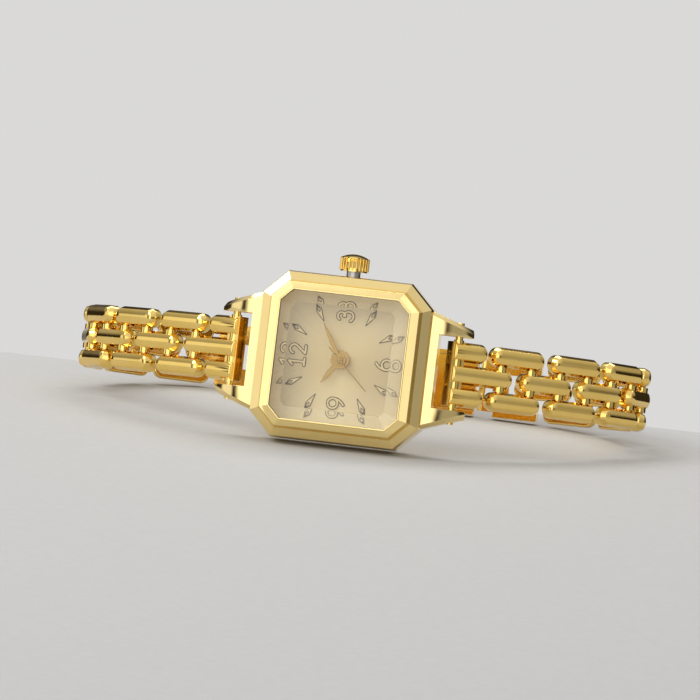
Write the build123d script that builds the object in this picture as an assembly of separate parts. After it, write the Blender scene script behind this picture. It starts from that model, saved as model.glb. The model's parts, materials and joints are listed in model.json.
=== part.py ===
from build123d import *
import math
import os

# A small square dress watch on a three-row beaded bracelet, closed round an empty wrist space.
# Frame: X runs from 12 o'clock (-X) to 6 o'clock (+X), Z from 9 o'clock up to 3 o'clock, where
# the crown stands, and the dial faces -Y. The origin is the middle of the case back's outer face.
# A "depth" is a distance in front of that face, so depth is -Y. All lengths are millimetres.

# Case
case_end_wall = 1.85
case_side_wall = 1.75
case_corner_cut = 2.8
case_back_edge_depth = 0.6
case_edge_round = 0.15
corner_inset_share = 2 - math.sqrt(2)

# Lugs and their plate
lug_side_gap = 0.55
plate_reach = 0.95
plate_back_depth = 0.9
lug_reach = 4.8
lug_root_width = 2.6
lug_tip_width = 0.9
lug_tip_front_depth = 1.0
lug_tip_back_depth = 0.15
lug_tip_undercut = 0.25
lug_belly_drop = 0.95
lug_belly_share = 0.6
lug_root_overlap = 1.0
lug_edge_slope = 0.45
bar_reach = 3.1
bar_depth = 1.25

# Spring bars
bar_radius = 0.6
bar_tip_radius = 0.44
bar_tip_clearance = 0.03
bar_body_inset = 0.35
bar_tip_proud = 0.15

# Bezel
bezel_wall_lean = 0.15
bezel_wall_height = 0.85
lower_tier_width = 0.95
lower_tier_rise = 0.55
riser_lean = 0.25
riser_height = 1.1
upper_tier_end_width = 0.99
upper_tier_side_width = 0.69
upper_tier_rise = 0.24
rim_width = 0.16
rim_height = 0.06
bezel_edge_round = 0.1
rehaut_inset = 0.35
bezel_dial_clearance = 0.05

# Crystal
crystal_clearance = 0.04
crystal_hand_gap = 0.32
crystal_wall_height = 0.72
crystal_facet_width = 1.45
crystal_facet_rise = 1.15
gasket_height = 0.25
gasket_width = 0.25

# Dial
dial_clearance = 0.15
dial_wheel_gap = 0.23
dial_thickness = 0.35
dial_rise = 0.2
dial_hole_radius = 0.78
relief_height = 0.12
numeral_height = 2.1
numeral_stroke = 0.26
numeral_radius = 5.15
one_serif_width = 0.8
one_flag_length = 0.42
two_bowl_radius = 0.5
two_neck_angle = -35
two_bowl_angle = 205
two_width = 1.15
three_top_radius = 0.44
three_bottom_radius = 0.56
three_bowl_angle = 245
six_bowl_radius = 0.58
six_stem_radius = 1.5
full_bowl_angle = 359
twelve_spacing = 0.72
marker_rehaut_gap = 0.2
marker_length = 2.1
marker_tip_length = 0.65
marker_width = 0.62
marker_line = 0.1

# Hands
hand_thickness = 0.14
hour_hand_gap = 0.52
hand_step = 0.4
hour_hand_length = 3.6
minute_hand_length = 4.9
second_hand_length = 4.9
second_tail_length = 1.9
hour_hand_half_width = 0.3
minute_hand_half_width = 0.24
hand_root_half_width = 0.14
hand_belly_share = 0.45
second_hand_width = 0.11
hour_hub_radius = 1.1
minute_hub_radius = 0.75
second_hub_radius = 0.45
hub_cap_height = 0.12
hour_hand_angle = 304
minute_hand_angle = 60
second_hand_angle = 224

# Coaxial arbors in the middle
seconds_arbor_radius = 0.14
cannon_bore_clearance = 0.04
cannon_radius = 0.34
hour_pipe_clearance = 0.04
hour_pipe_radius = 0.62

# Movement plates
plate_end_edge = 0.35
plate_side_edge = 0.3
main_plate_wheel_gap = 0.14
main_plate_thickness = 0.5
bridge_holder_gap = 0.05
bridge_thickness = 0.3
bridge_left = 4.0
bridge_right = 0.55
bridge_top = 1.0
bridge_bottom = 4.8
bridge_post_radius = 0.4
left_post_inset = 0.5
right_post_inset = 0.45
post_side_inset = 0.55
holder_end_room = 1.3
holder_side_room = 1.6
holder_back_gap = 0.05
holder_clearance = 0.1
pivot_radius = 0.1
pivot_clearance = 0.03
pivot_end_gap = 0.05

# Wheels of the seconds train
wheel_thickness = 0.16
tooth_width_share = 0.42
tooth_tip_share = 0.2
tooth_gap = 0.03
rotor_module = 0.07
rotor_pinion_teeth = 6
intermediate_teeth = 36
seconds_module = 0.09
intermediate_pinion_teeth = 8
seconds_teeth = 40
seconds_wheel_gap = 0.2
intermediate_wheel_gap = 0.44
pinion_margin = 0.08
train_angle = 233
rotor_turn_angle = -26
rotor_magnet_radius = 0.6
rotor_magnet_gap = 0.18
rotor_magnet_height = 0.36

# Wheels under the dial
motion_module = 0.1
cannon_teeth = 10
minute_wheel_teeth = 30
minute_pinion_teeth = 8
hour_wheel_teeth = 32
minute_wheel_gap = 0.06
hour_wheel_gap = 0.14

# Stepping motor, battery and board
stator_gap = 0.22
stator_thickness = 0.26
stator_hole_radius = 0.72
stator_ring_radius = 1.0
stator_arm_width = 1.5
coil_edge = 0.81
coil_gap = 0.55
coil_radius = 0.5
coil_flange_radius = 0.54
coil_flange_width = 0.3
coil_bottom = -4.7
coil_length = 8.0
coil_seat_gap = 0.05
battery_bridge_gap = 0.3
battery_crown_gap = 0.4
battery_radius = 2.9
battery_plate_gap = 0.05
battery_height = 1.25
battery_edge_round = 0.12
battery_cap_inset = 0.6
battery_cap_height = 0.08
clamp_width = 1.3
clamp_thickness = 0.14
clamp_clearance = 0.04
clamp_reach = 4.3
board_left = 1.6
board_end_edge = 0.4
board_low = 0.3
board_side_edge = 0.5
board_bridge_gap = 0.1
board_thickness = 0.2
chip_size = 1.7
chip_height = 0.5
chip_left_inset = 1.7
chip_top_inset = 1.6
can_radius = 0.48
can_length = 3.4
can_right_inset = 1.0
can_low_inset = 1.1

# Case back
back_edge = 0.5
back_edge_chamfer = 0.25
back_rim_clearance = 0.05
back_rim_width = 0.6
back_rim_height = 0.4
back_groove_wall = 0.3
back_gasket_line = 0.4
back_gasket_height = 0.3
back_gasket_gap = 0.02

# Crown, stem and setting pinion
setting_wheel_gap = 0.11
crown_radius = 1.75
crown_height = 2.1
crown_dome_height = 0.5
crown_base_chamfer = 0.15
crown_slide_travel = 0.62
crown_seat_gap = 0.05
flute_count = 24
flute_radius = 0.16
crown_roof = 0.75
crown_bore_clearance = 0.06
tube_radius = 0.82
tube_wall = 0.3
tube_reach = 1.2
stem_radius = 0.3
stem_clearance = 0.04
stem_end_proud = 0.1
stem_seat = 0.3
setting_pinion_radius = 0.95
setting_pinion_gap = 0.75
setting_pinion_width = 0.75
setting_pinion_teeth = 14
setting_window_margin = 0.12

# Bracelet
band_pitch = 4.0
end_link_pitch = 5.9
row_gap = 0.35
bead_width = 2.3
bead_gap = 0.9
bead_thickness = 1.9
bead_front_round = 0.72
bead_back_round = 0.25
link_pin_radius = 0.4
link_pin_seat = 1.2
link_bore_clearance = 0.05
boss_radius = 0.72
boss_gap = 0.04
end_bead_gap = 0.45
end_bead_start = 0.9
end_block_back = 1.1
end_block_front = 0.5
end_block_length = 0.9
end_bore_clearance = 0.05
end_link_heading = 32
link_headings = (33, 36, 42, 49, 59, 75, 95, 113, 128, 143, 156, 169)

# Clasp
clasp_bulge = 1.1
clasp_butt_gap = 0.4
clasp_butt_x = 12.2
clasp_width = 6.4
clasp_back_offset = -0.9
clasp_front_offset = -0.25
clasp_plate_start = 2.3
clasp_cheek_start = 1.5
clasp_cheek_length = 4.0
clasp_lip_height = 0.35
clasp_lip_length = 0.5
cover_back_offset = 0.3
cover_front_offset = 0.95
cover_wall = 0.5
cover_side_clearance = 0.1
cover_hinge_inset = 5.5
cover_plate_inset = 0.75
cover_wall_inset = 0.75
knuckle_radius = 0.5
knuckle_width = 3.6
knuckle_bore_clearance = 0.05
knuckle_pin_radius = 0.2
slot_length = 1.4
slot_width = 3.2
crossbar_radius = 0.4

# Cutting tools run past the metal by this much
overrun = 1.0
edge_pick_margin = 0.01

# Directions
frontward = (0, -1, 0)
crownward = (0, 0, 1)

# Depths, worked out from the case back forward
holder_back_depth = case_back_edge_depth + back_rim_height + holder_back_gap
bridge_back_depth = holder_back_depth + bridge_holder_gap
bridge_front_depth = bridge_back_depth + bridge_thickness
seconds_wheel_depth = bridge_front_depth + seconds_wheel_gap
rotor_magnet_depth = bridge_front_depth + rotor_magnet_gap
stator_depth = bridge_front_depth + stator_gap
coil_depth = bridge_front_depth + coil_gap
board_back_depth = bridge_back_depth + board_bridge_gap
intermediate_wheel_depth = seconds_wheel_depth + wheel_thickness + intermediate_wheel_gap
main_plate_back_depth = intermediate_wheel_depth + wheel_thickness + main_plate_wheel_gap
main_plate_front_depth = main_plate_back_depth + main_plate_thickness
battery_back_depth = main_plate_back_depth - battery_plate_gap - battery_height
minute_wheel_depth = main_plate_front_depth + minute_wheel_gap
hour_wheel_depth = minute_wheel_depth + wheel_thickness + hour_wheel_gap
crown_depth = minute_wheel_depth - setting_wheel_gap - setting_pinion_radius
dial_front_depth = hour_wheel_depth + wheel_thickness + dial_wheel_gap + dial_thickness
plate_front_depth = dial_front_depth - dial_rise
hour_hand_depth = dial_front_depth + hour_hand_gap
minute_hand_depth = hour_hand_depth + hand_step
second_hand_depth = minute_hand_depth + hand_step
second_hand_top = second_hand_depth + hand_thickness + hub_cap_height
crystal_back_depth = second_hand_top + crystal_hand_gap
lug_belly_front_depth = plate_front_depth - lug_belly_drop

# The movement, worked out from the battery outward, and the case round it
battery_x = bridge_right + battery_bridge_gap + battery_radius
battery_z = -battery_crown_gap - battery_radius
plate_length = 2 * (battery_x + battery_radius + plate_end_edge)
plate_width = 2 * (battery_radius - battery_z + plate_side_edge)
cavity_length = plate_length + 2 * holder_end_room
cavity_width = plate_width + 2 * holder_side_room
case_length = cavity_length + 2 * case_end_wall
case_width = cavity_width + 2 * case_side_wall
coil_x = coil_edge + coil_flange_radius - plate_length / 2
board_right = plate_length / 2 - board_end_edge
board_high = plate_width / 2 - board_side_edge
chip_x = board_left + chip_left_inset
chip_z = board_high - chip_top_inset
can_x = board_right - can_right_inset
can_z = board_low + can_low_inset
left_post_x = left_post_inset - bridge_left
left_post_z = bridge_top - post_side_inset
right_post_x = bridge_right - right_post_inset
right_post_z = post_side_inset - bridge_bottom
battery_cap_radius = battery_radius - battery_cap_inset

# The bezel's opening, and what it frames
riser_inset = bezel_wall_lean + lower_tier_width + riser_lean
rim_length = case_length - 2 * (riser_inset + upper_tier_end_width)
rim_breadth = case_width - 2 * (riser_inset + upper_tier_side_width)
opening_length = rim_length - 2 * rim_width
opening_width = rim_breadth - 2 * rim_width
marker_outer_radius = opening_width / 2 - rehaut_inset - marker_rehaut_gap
marker_wide_radius = marker_outer_radius - marker_tip_length
marker_inner_radius = marker_outer_radius - marker_length

# The bracelet's rows
row_pitch = bead_width + row_gap
bead_length = 2 * band_pitch - bead_gap
lug_gap = 2 * row_pitch + bead_width + 2 * lug_side_gap
end_bead_length = end_link_pitch + (band_pitch - bead_length) / 2 - end_bead_gap


def face_plane(depth):
    """The plane parallel to the dial at a depth; its sketch axes are X and Z."""
    return Plane.XZ.offset(depth)


def slab(sketch, back, front):
    """A sketch seen from the front, made solid between two depths."""
    return extrude(face_plane(back) * sketch, amount=front - back, dir=frontward)


def disc(radius, back, front, x=0, z=0):
    """A round piece whose axis points out of the dial."""
    return slab(Pos(x, z) * Circle(radius), back, front)


def upright_rod(radius, low, high, x=0, depth=0):
    """A round piece whose axis runs from 9 o'clock to 3 o'clock."""
    rod = Cylinder(radius, high - low, align=(Align.CENTER, Align.CENTER, Align.MIN))
    return Pos(x, -depth, low) * rod


def case_octagon(length, width):
    """An octagon that keeps the case's own proportions at its cut corners."""
    inset = (case_length - length + case_width - width) / 4
    cut = case_corner_cut - corner_inset_share * inset
    x = length / 2
    z = width / 2
    right = [(x - cut, z), (x, z - cut), (x, cut - z), (x - cut, -z)]
    left = [(-px, -pz) for px, pz in right]
    return Polygon(*right, *left, align=None)


def ring(outer, inner, back, front):
    """A frame between two octagons, each given as length and width."""
    return slab(case_octagon(*outer) - case_octagon(*inner), back, front)


def edges_at_depth(solid, depth):
    """The edges that lie wholly at one depth."""
    return solid.edges().filter_by_position(
        Axis.Y, -depth - edge_pick_margin, -depth + edge_pick_margin
    )


def gear_sketch(teeth, module, bore=0):
    """A spur gear's outline with straight-sided teeth, centred on the origin."""
    pitch_radius = teeth * module / 2
    root_radius = pitch_radius - module - tooth_gap
    tip_radius = pitch_radius + module - tooth_gap
    step = 2 * math.pi / teeth
    points = []
    for tooth in range(teeth):
        middle = tooth * step
        corners = (
            (root_radius, -tooth_width_share),
            (tip_radius, -tooth_tip_share),
            (tip_radius, tooth_tip_share),
            (root_radius, tooth_width_share),
        )
        for radius, share in corners:
            angle = middle + share * step
            points.append((radius * math.cos(angle), radius * math.sin(angle)))
    outline = Polygon(*points, align=None)
    return outline - Circle(bore) if bore else outline


def gear(teeth, module, back, front, x=0, z=0, bore=0):
    """A spur gear standing between two depths."""
    return slab(Pos(x, z) * gear_sketch(teeth, module, bore), back, front)


# Case and lugs

case_flank = case_width / 2
bar_x = case_length / 2 + bar_reach
lug_tip_x = case_length / 2 + lug_reach
plate_end_x = case_length / 2 + plate_reach
lug_root_x = case_length / 2 - lug_root_overlap
flat_side_half = case_width / 2 - case_corner_cut


def lug_profile():
    """One lug seen from its side: level with the plate at its root, curving down to its tip."""
    belly_x = plate_end_x + lug_belly_share * (lug_tip_x - plate_end_x)
    root_front = (lug_root_x, -plate_front_depth)
    plate_end = (plate_end_x, -plate_front_depth)
    belly = (belly_x, -lug_belly_front_depth)
    tip_front = (lug_tip_x, -lug_tip_front_depth)
    tip_back = (lug_tip_x - lug_tip_undercut, -lug_tip_back_depth)
    case_edge = (case_length / 2, -case_back_edge_depth)
    root_back = (lug_root_x, -case_back_edge_depth)
    curve = [
        Line(root_front, plate_end),
        ThreePointArc(plate_end, belly, tip_front),
        Line(tip_front, tip_back),
        Line(tip_back, case_edge),
        Line(case_edge, root_back),
        Line(root_back, root_front),
    ]
    return make_face(curve)


def lug():
    """The lug at the 6 o'clock end on the crown's side."""
    inner = lug_gap / 2
    side = Plane.XY.offset(inner) * lug_profile()
    block = extrude(side, amount=flat_side_half - inner, dir=crownward)
    taper = Polygon(
        (lug_root_x, inner),
        (lug_tip_x, inner),
        (lug_tip_x, inner + lug_tip_width),
        (case_length / 2, inner + lug_root_width),
        (lug_root_x, inner + lug_root_width),
        align=None,
    )
    return block & slab(taper, -overrun, plate_front_depth + overrun)


def all_lugs():
    """Four lugs, mirrored from one."""
    pair = lug() + mirror(lug(), Plane.XY)
    return pair + mirror(pair, Plane.YZ)


def lug_outer_face_at(x):
    """How far from the middle a lug's outer face is, at a distance along the case."""
    run = (x - case_length / 2) / (lug_tip_x - case_length / 2)
    return lug_gap / 2 + lug_root_width + run * (lug_tip_width - lug_root_width)


def plate_outline():
    """The plate under the bezel, whose ends narrow as the lugs do."""
    root = lug_outer_face_at(case_length / 2)
    end = lug_outer_face_at(plate_end_x)
    right = [
        (case_length / 2, root),
        (plate_end_x, end),
        (plate_end_x, -end),
        (case_length / 2, -root),
    ]
    left = [(-x, -z) for x, z in right]
    return Polygon(*right, *left, align=None)


def lug_front_edges(body):
    """The edges between the lugs' fronts and their outer faces."""
    found = []
    for edge in body.edges():
        middle = edge @ 0.5
        x = abs(middle.X)
        beyond_case = x > case_length / 2 + edge_pick_margin
        on_outer_face = abs(abs(middle.Z) - lug_outer_face_at(x)) < edge_pick_margin
        if beyond_case and on_outer_face and -middle.Y > lug_tip_front_depth:
            found.append(edge)
    return found


def back_groove_ring(gap, back, front):
    """The ring round the cavity that the back's seal fills, less a gap on each side."""
    inner = back_groove_wall + gap
    outer = back_groove_wall + back_gasket_line - gap
    return ring(
        (cavity_length + 2 * outer, cavity_width + 2 * outer),
        (cavity_length + 2 * inner, cavity_width + 2 * inner),
        back,
        front,
    )


def case_middle():
    """The octagonal case with its lug plate, lugs, crown hole and gasket groove."""
    case_outline = case_octagon(case_length, case_width)
    body = slab(case_outline, case_back_edge_depth, plate_front_depth)
    body = chamfer(edges_at_depth(body, case_back_edge_depth), case_edge_round)
    plate = slab(plate_outline(), plate_back_depth, plate_front_depth)
    body = body + plate + all_lugs()
    body = chamfer(lug_front_edges(body), lug_edge_slope)
    cavity = case_octagon(cavity_length, cavity_width)
    body = body - slab(cavity, -overrun, plate_front_depth + overrun)
    groove_front = case_back_edge_depth + back_gasket_height
    body = body - back_groove_ring(0, case_back_edge_depth, groove_front)
    body = body - upright_rod(tube_radius, 0, case_flank + overrun, depth=crown_depth)
    lug_top = flat_side_half + overrun
    hole_radius = bar_tip_radius + bar_tip_clearance
    for x in (-bar_x, bar_x):
        body = body - upright_rod(hole_radius, -lug_top, lug_top, x=x, depth=bar_depth)
    return body


def spring_bars():
    """Two bars, each a body between the lugs with a thinner tip through each lug."""
    tip_end = lug_outer_face_at(bar_x) + bar_tip_proud
    body_end = lug_gap / 2 - bar_body_inset
    bars = []
    for x in (-bar_x, bar_x):
        tips = upright_rod(bar_tip_radius, -tip_end, tip_end, x=x, depth=bar_depth)
        body = upright_rod(bar_radius, -body_end, body_end, x=x, depth=bar_depth)
        bars.append(tips + body)
    return bars


# Bezel, crystal and dial


def bezel_levels():
    """The bezel's outline at each level, as length, width and depth, from the case forward."""
    wall_top = plate_front_depth + bezel_wall_height
    step_top = wall_top + lower_tier_rise
    step_inset = bezel_wall_lean + lower_tier_width
    riser_top = step_top + riser_height
    rim_back = riser_top + upper_tier_rise
    return (
        (case_length, case_width, plate_front_depth),
        (case_length - 2 * bezel_wall_lean, case_width - 2 * bezel_wall_lean, wall_top),
        (case_length - 2 * step_inset, case_width - 2 * step_inset, step_top),
        (case_length - 2 * riser_inset, case_width - 2 * riser_inset, riser_top),
        (rim_length, rim_breadth, rim_back),
        (rim_length - rim_width, rim_breadth - rim_width, rim_back + rim_height),
    )


def bezel():
    """The two-step frame that holds the crystal and hides the dial's edge."""
    levels = bezel_levels()
    sections = [face_plane(depth) * case_octagon(length, width) for length, width, depth in levels]
    body = loft([section.face() for section in sections], ruled=True)
    rounded = [edge for level in (1, 3) for edge in edges_at_depth(body, levels[level][2])]
    body = fillet(rounded, bezel_edge_round)
    recess_front = dial_front_depth + bezel_dial_clearance
    body = body - slab(case_octagon(cavity_length, cavity_width), 0, recess_front)
    cut_end = levels[-1][2] + overrun
    rehaut = case_octagon(opening_length - 2 * rehaut_inset, opening_width - 2 * rehaut_inset)
    body = body - slab(rehaut, 0, cut_end)
    seat_depth = crystal_back_depth - gasket_height
    opening = case_octagon(opening_length, opening_width)
    return body - slab(opening, seat_depth, cut_end)


def crystal():
    """Thick glass with eight sloping facets round a flat table."""
    length = opening_length - 2 * crystal_clearance
    width = opening_width - 2 * crystal_clearance
    table = case_octagon(length - 2 * crystal_facet_width, width - 2 * crystal_facet_width)
    wall_front = crystal_back_depth + crystal_wall_height
    outline = case_octagon(length, width)
    block = slab(outline, crystal_back_depth, wall_front)
    lower = face_plane(wall_front) * outline
    upper = face_plane(wall_front + crystal_facet_rise) * table
    return block + loft([lower.face(), upper.face()], ruled=True)


def crystal_gasket():
    """The flat ring that the crystal rests on."""
    length = opening_length - 2 * crystal_clearance
    width = opening_width - 2 * crystal_clearance
    back = crystal_back_depth - gasket_height
    inner = (length - 2 * gasket_width, width - 2 * gasket_width)
    return ring((length, width), inner, back, crystal_back_depth)


def dial():
    """The plate that the numerals stand on."""
    outline = case_octagon(cavity_length - 2 * dial_clearance, cavity_width - 2 * dial_clearance)
    plate = slab(outline, dial_front_depth - dial_thickness, dial_front_depth)
    return plate - disc(dial_hole_radius, 0, dial_front_depth + overrun)


def arc_stroke(u, v, radius, start_angle, arc_size):
    """A curved stroke of a numeral, with round ends."""
    outer = CenterArc((u, v), radius + numeral_stroke / 2, start_angle, arc_size)
    inner = CenterArc((u, v), radius - numeral_stroke / 2, start_angle, arc_size)
    band = make_face([outer, Line(outer @ 1, inner @ 1), inner, Line(inner @ 0, outer @ 0)])
    middle = CenterArc((u, v), radius, start_angle, arc_size)
    for end in (middle @ 0, middle @ 1):
        band = band + Pos(end.X, end.Y) * Circle(numeral_stroke / 2)
    return band


def line_stroke(start, end):
    """A straight stroke of a numeral, with round ends."""
    middle = Pos((start[0] + end[0]) / 2, (start[1] + end[1]) / 2)
    angle = math.degrees(math.atan2(end[1] - start[1], end[0] - start[0]))
    length = math.dist(start, end) + numeral_stroke
    return middle * Rot(0, 0, angle) * SlotOverall(length, numeral_stroke)


stroke_half_height = (numeral_height - numeral_stroke) / 2


def digit_one():
    """A plain one with a flag and a foot."""
    top = (0, stroke_half_height)
    foot = (0, -stroke_half_height)
    flag = (-one_flag_length, stroke_half_height - one_flag_length)
    left = (-one_serif_width / 2, -stroke_half_height)
    right = (one_serif_width / 2, -stroke_half_height)
    return line_stroke(foot, top) + line_stroke(flag, top) + line_stroke(left, right)


def digit_two():
    """A round head, a slanting neck and a flat foot."""
    centre_v = stroke_half_height - two_bowl_radius
    bowl = arc_stroke(0, centre_v, two_bowl_radius, two_neck_angle, two_bowl_angle)
    neck_angle = math.radians(two_neck_angle)
    neck_top = (
        two_bowl_radius * math.cos(neck_angle),
        centre_v + two_bowl_radius * math.sin(neck_angle),
    )
    foot_left = (-two_width / 2 + numeral_stroke / 2, -stroke_half_height)
    foot_right = (two_width / 2 - numeral_stroke / 2, -stroke_half_height)
    return bowl + line_stroke(neck_top, foot_left) + line_stroke(foot_left, foot_right)


def digit_three():
    """Two open bowls, the lower one larger."""
    top_v = stroke_half_height - three_top_radius
    bottom_v = three_bottom_radius - stroke_half_height
    top = arc_stroke(0, top_v, three_top_radius, -90, three_bowl_angle)
    start = 90 - three_bowl_angle
    return top + arc_stroke(0, bottom_v, three_bottom_radius, start, three_bowl_angle)


def digit_six():
    """A round bowl with a stem that sweeps up from its left side."""
    bowl_v = six_bowl_radius - stroke_half_height
    bowl = arc_stroke(0, bowl_v, six_bowl_radius, 0, full_bowl_angle)
    stem_centre = six_stem_radius - six_bowl_radius
    stem_size = math.degrees(math.asin((stroke_half_height - bowl_v) / six_stem_radius))
    return bowl + arc_stroke(stem_centre, bowl_v, six_stem_radius, 180 - stem_size, stem_size)


def raise_numeral(sketch, hour_angle):
    """A numeral at its hour, upright when 12 is at the top, raised from the dial."""
    angle = math.radians(hour_angle)
    place = Pos(-numeral_radius * math.cos(angle), numeral_radius * math.sin(angle))
    return slab(
        place * Rot(0, 0, 90) * sketch, dial_front_depth, dial_front_depth + relief_height
    )


def dial_numerals():
    """12, 3, 6 and 9 in relief."""
    one = Pos(-twelve_spacing, 0) * digit_one()
    two = Pos(twelve_spacing, 0) * digit_two()
    return [
        raise_numeral(one, 0),
        raise_numeral(two, 0),
        raise_numeral(digit_three(), 90),
        raise_numeral(digit_six(), 180),
        raise_numeral(Rot(0, 0, 180) * digit_six(), 270),
    ]


def kite(inset):
    """A kite that points at the middle of the dial, drawn along +X."""
    inner = marker_inner_radius + inset * marker_outer_radius / marker_width
    outer = marker_outer_radius - inset
    half = marker_width / 2 - inset
    return Polygon(
        (inner, 0), (marker_wide_radius, -half), (outer, 0), (marker_wide_radius, half), align=None
    )


def dial_markers():
    """Eight outlined kites at the hours without a numeral."""
    markers = []
    for hour in range(12):
        if hour % 3:
            outline = Rot(0, 0, 180 - 30 * hour) * (kite(0) - kite(marker_line))
            markers.append(slab(outline, dial_front_depth, dial_front_depth + relief_height))
    return markers


# Hands and the wheels behind them


def leaf(length, half_width):
    """A leaf-shaped hand drawn along +X."""
    belly = hand_belly_share * length
    lower = ThreePointArc((0, -hand_root_half_width), (belly, -half_width), (length, 0))
    upper = ThreePointArc((length, 0), (belly, half_width), (0, hand_root_half_width))
    root = Line((0, hand_root_half_width), (0, -hand_root_half_width))
    return make_face([lower, upper, root])


def point_hand(sketch, clock_angle):
    """Turns a hand drawn along +X to a clock angle, clockwise from 12."""
    return Rot(0, 0, 180 - clock_angle) * sketch


def hour_hand():
    """The short leaf on its hub, pressed on the hour wheel's pipe."""
    shape = Circle(hour_hub_radius) + leaf(hour_hand_length, hour_hand_half_width)
    shape = shape - Circle(hour_pipe_radius)
    top = hour_hand_depth + hand_thickness
    return slab(point_hand(shape, hour_hand_angle), hour_hand_depth, top)


def minute_hand():
    """The long leaf on its hub, pressed on the cannon pinion."""
    shape = Circle(minute_hub_radius) + leaf(minute_hand_length, minute_hand_half_width)
    shape = shape - Circle(cannon_radius)
    top = minute_hand_depth + hand_thickness
    return slab(point_hand(shape, minute_hand_angle), minute_hand_depth, top)


def second_hand():
    """The needle with its tail, and the round cap that closes the stack."""
    reach = second_hand_length + second_tail_length
    needle = Pos(second_hand_length - reach / 2, 0) * Rectangle(reach, second_hand_width)
    shape = point_hand(needle, second_hand_angle) + Circle(second_hub_radius)
    top = second_hand_depth + hand_thickness
    cap = disc(second_hub_radius / 2, top, top + hub_cap_height)
    hand = slab(shape, second_hand_depth, top) + cap
    return hand - disc(seconds_arbor_radius, 0, top)


def hour_wheel():
    """The wheel under the dial whose pipe carries the hour hand."""
    front = hour_wheel_depth + wheel_thickness
    wheel = gear(hour_wheel_teeth, motion_module, hour_wheel_depth, front)
    pipe = disc(hour_pipe_radius, front, hour_hand_depth + hand_thickness)
    bore = cannon_radius + hour_pipe_clearance
    return wheel + pipe - disc(bore, 0, hour_hand_depth + overrun)


def cannon_pinion():
    """The pinion and tube that carry the minute hand."""
    front = minute_wheel_depth + wheel_thickness
    pinion = gear(cannon_teeth, motion_module, minute_wheel_depth, front)
    tube = disc(cannon_radius, front, minute_hand_depth + hand_thickness)
    bore = seconds_arbor_radius + cannon_bore_clearance
    return pinion + tube - disc(bore, 0, minute_hand_depth + overrun)


motion_distance = (cannon_teeth + minute_wheel_teeth) * motion_module / 2
setting_pinion_low = motion_distance + setting_pinion_gap
setting_pinion_high = setting_pinion_low + setting_pinion_width


def minute_wheel():
    """The wheel and pinion between the cannon pinion and the hour wheel."""
    front = minute_wheel_depth + wheel_thickness
    wheel = gear(minute_wheel_teeth, motion_module, minute_wheel_depth, front, z=motion_distance)
    pinion_front = hour_wheel_depth + wheel_thickness
    pinion = gear(minute_pinion_teeth, motion_module, front, pinion_front, z=motion_distance)
    pivot_back = main_plate_back_depth + pivot_end_gap
    pivot = disc(pivot_radius, pivot_back, minute_wheel_depth, z=motion_distance)
    return wheel + pinion + pivot


# Seconds train

intermediate_distance = (intermediate_pinion_teeth + seconds_teeth) * seconds_module / 2
rotor_distance = (rotor_pinion_teeth + intermediate_teeth) * rotor_module / 2
intermediate_x = intermediate_distance * math.cos(math.radians(train_angle))
intermediate_z = intermediate_distance * math.sin(math.radians(train_angle))
rotor_x = intermediate_x + rotor_distance * math.cos(math.radians(train_angle + rotor_turn_angle))
rotor_z = intermediate_z + rotor_distance * math.sin(math.radians(train_angle + rotor_turn_angle))
train_back_depth = bridge_back_depth + pivot_end_gap
train_front_depth = main_plate_front_depth - pivot_end_gap


def seconds_wheel():
    """The centre wheel whose long arbor carries the seconds hand."""
    front = seconds_wheel_depth + wheel_thickness
    wheel = gear(seconds_teeth, seconds_module, seconds_wheel_depth, front)
    pivot = disc(pivot_radius, train_back_depth, seconds_wheel_depth)
    arbor = disc(seconds_arbor_radius, front, second_hand_depth + hand_thickness)
    return wheel + pivot + arbor


def intermediate_wheel():
    """The wheel and pinion between the rotor and the seconds wheel."""
    x = intermediate_x
    z = intermediate_z
    front = intermediate_wheel_depth + wheel_thickness
    wheel = gear(intermediate_teeth, rotor_module, intermediate_wheel_depth, front, x, z)
    pinion_back = seconds_wheel_depth - pinion_margin
    pinion = gear(
        intermediate_pinion_teeth, seconds_module, pinion_back, intermediate_wheel_depth, x, z
    )
    return wheel + pinion + disc(pivot_radius, train_back_depth, train_front_depth, x, z)


def rotor():
    """The round magnet of the stepping motor, with its pinion."""
    x = rotor_x
    z = rotor_z
    magnet_front = rotor_magnet_depth + rotor_magnet_height
    magnet = disc(rotor_magnet_radius, rotor_magnet_depth, magnet_front, x, z)
    pinion_front = intermediate_wheel_depth + wheel_thickness + pinion_margin
    pinion = gear(rotor_pinion_teeth, rotor_module, magnet_front, pinion_front, x, z)
    return magnet + pinion + disc(pivot_radius, train_back_depth, train_front_depth, x, z)


# Fixed pieces of the movement


def main_plate():
    """The plate that carries the train, with pivot holes and the setting window."""
    back = main_plate_back_depth
    front = main_plate_front_depth
    plate = slab(case_octagon(plate_length, plate_width), back, front)
    hole = pivot_radius + pivot_clearance
    for x, z in ((intermediate_x, intermediate_z), (rotor_x, rotor_z), (0, motion_distance)):
        plate = plate - disc(hole, 0, front + overrun, x, z)
    plate = plate - disc(seconds_arbor_radius + pivot_clearance, 0, front + overrun)
    window_half = setting_pinion_radius + setting_window_margin
    low = setting_pinion_low - setting_window_margin
    high = setting_pinion_high + setting_window_margin
    window = Pos(0, (low + high) / 2) * Rectangle(2 * window_half, high - low)
    return plate - slab(window, 0, front + overrun)


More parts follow.
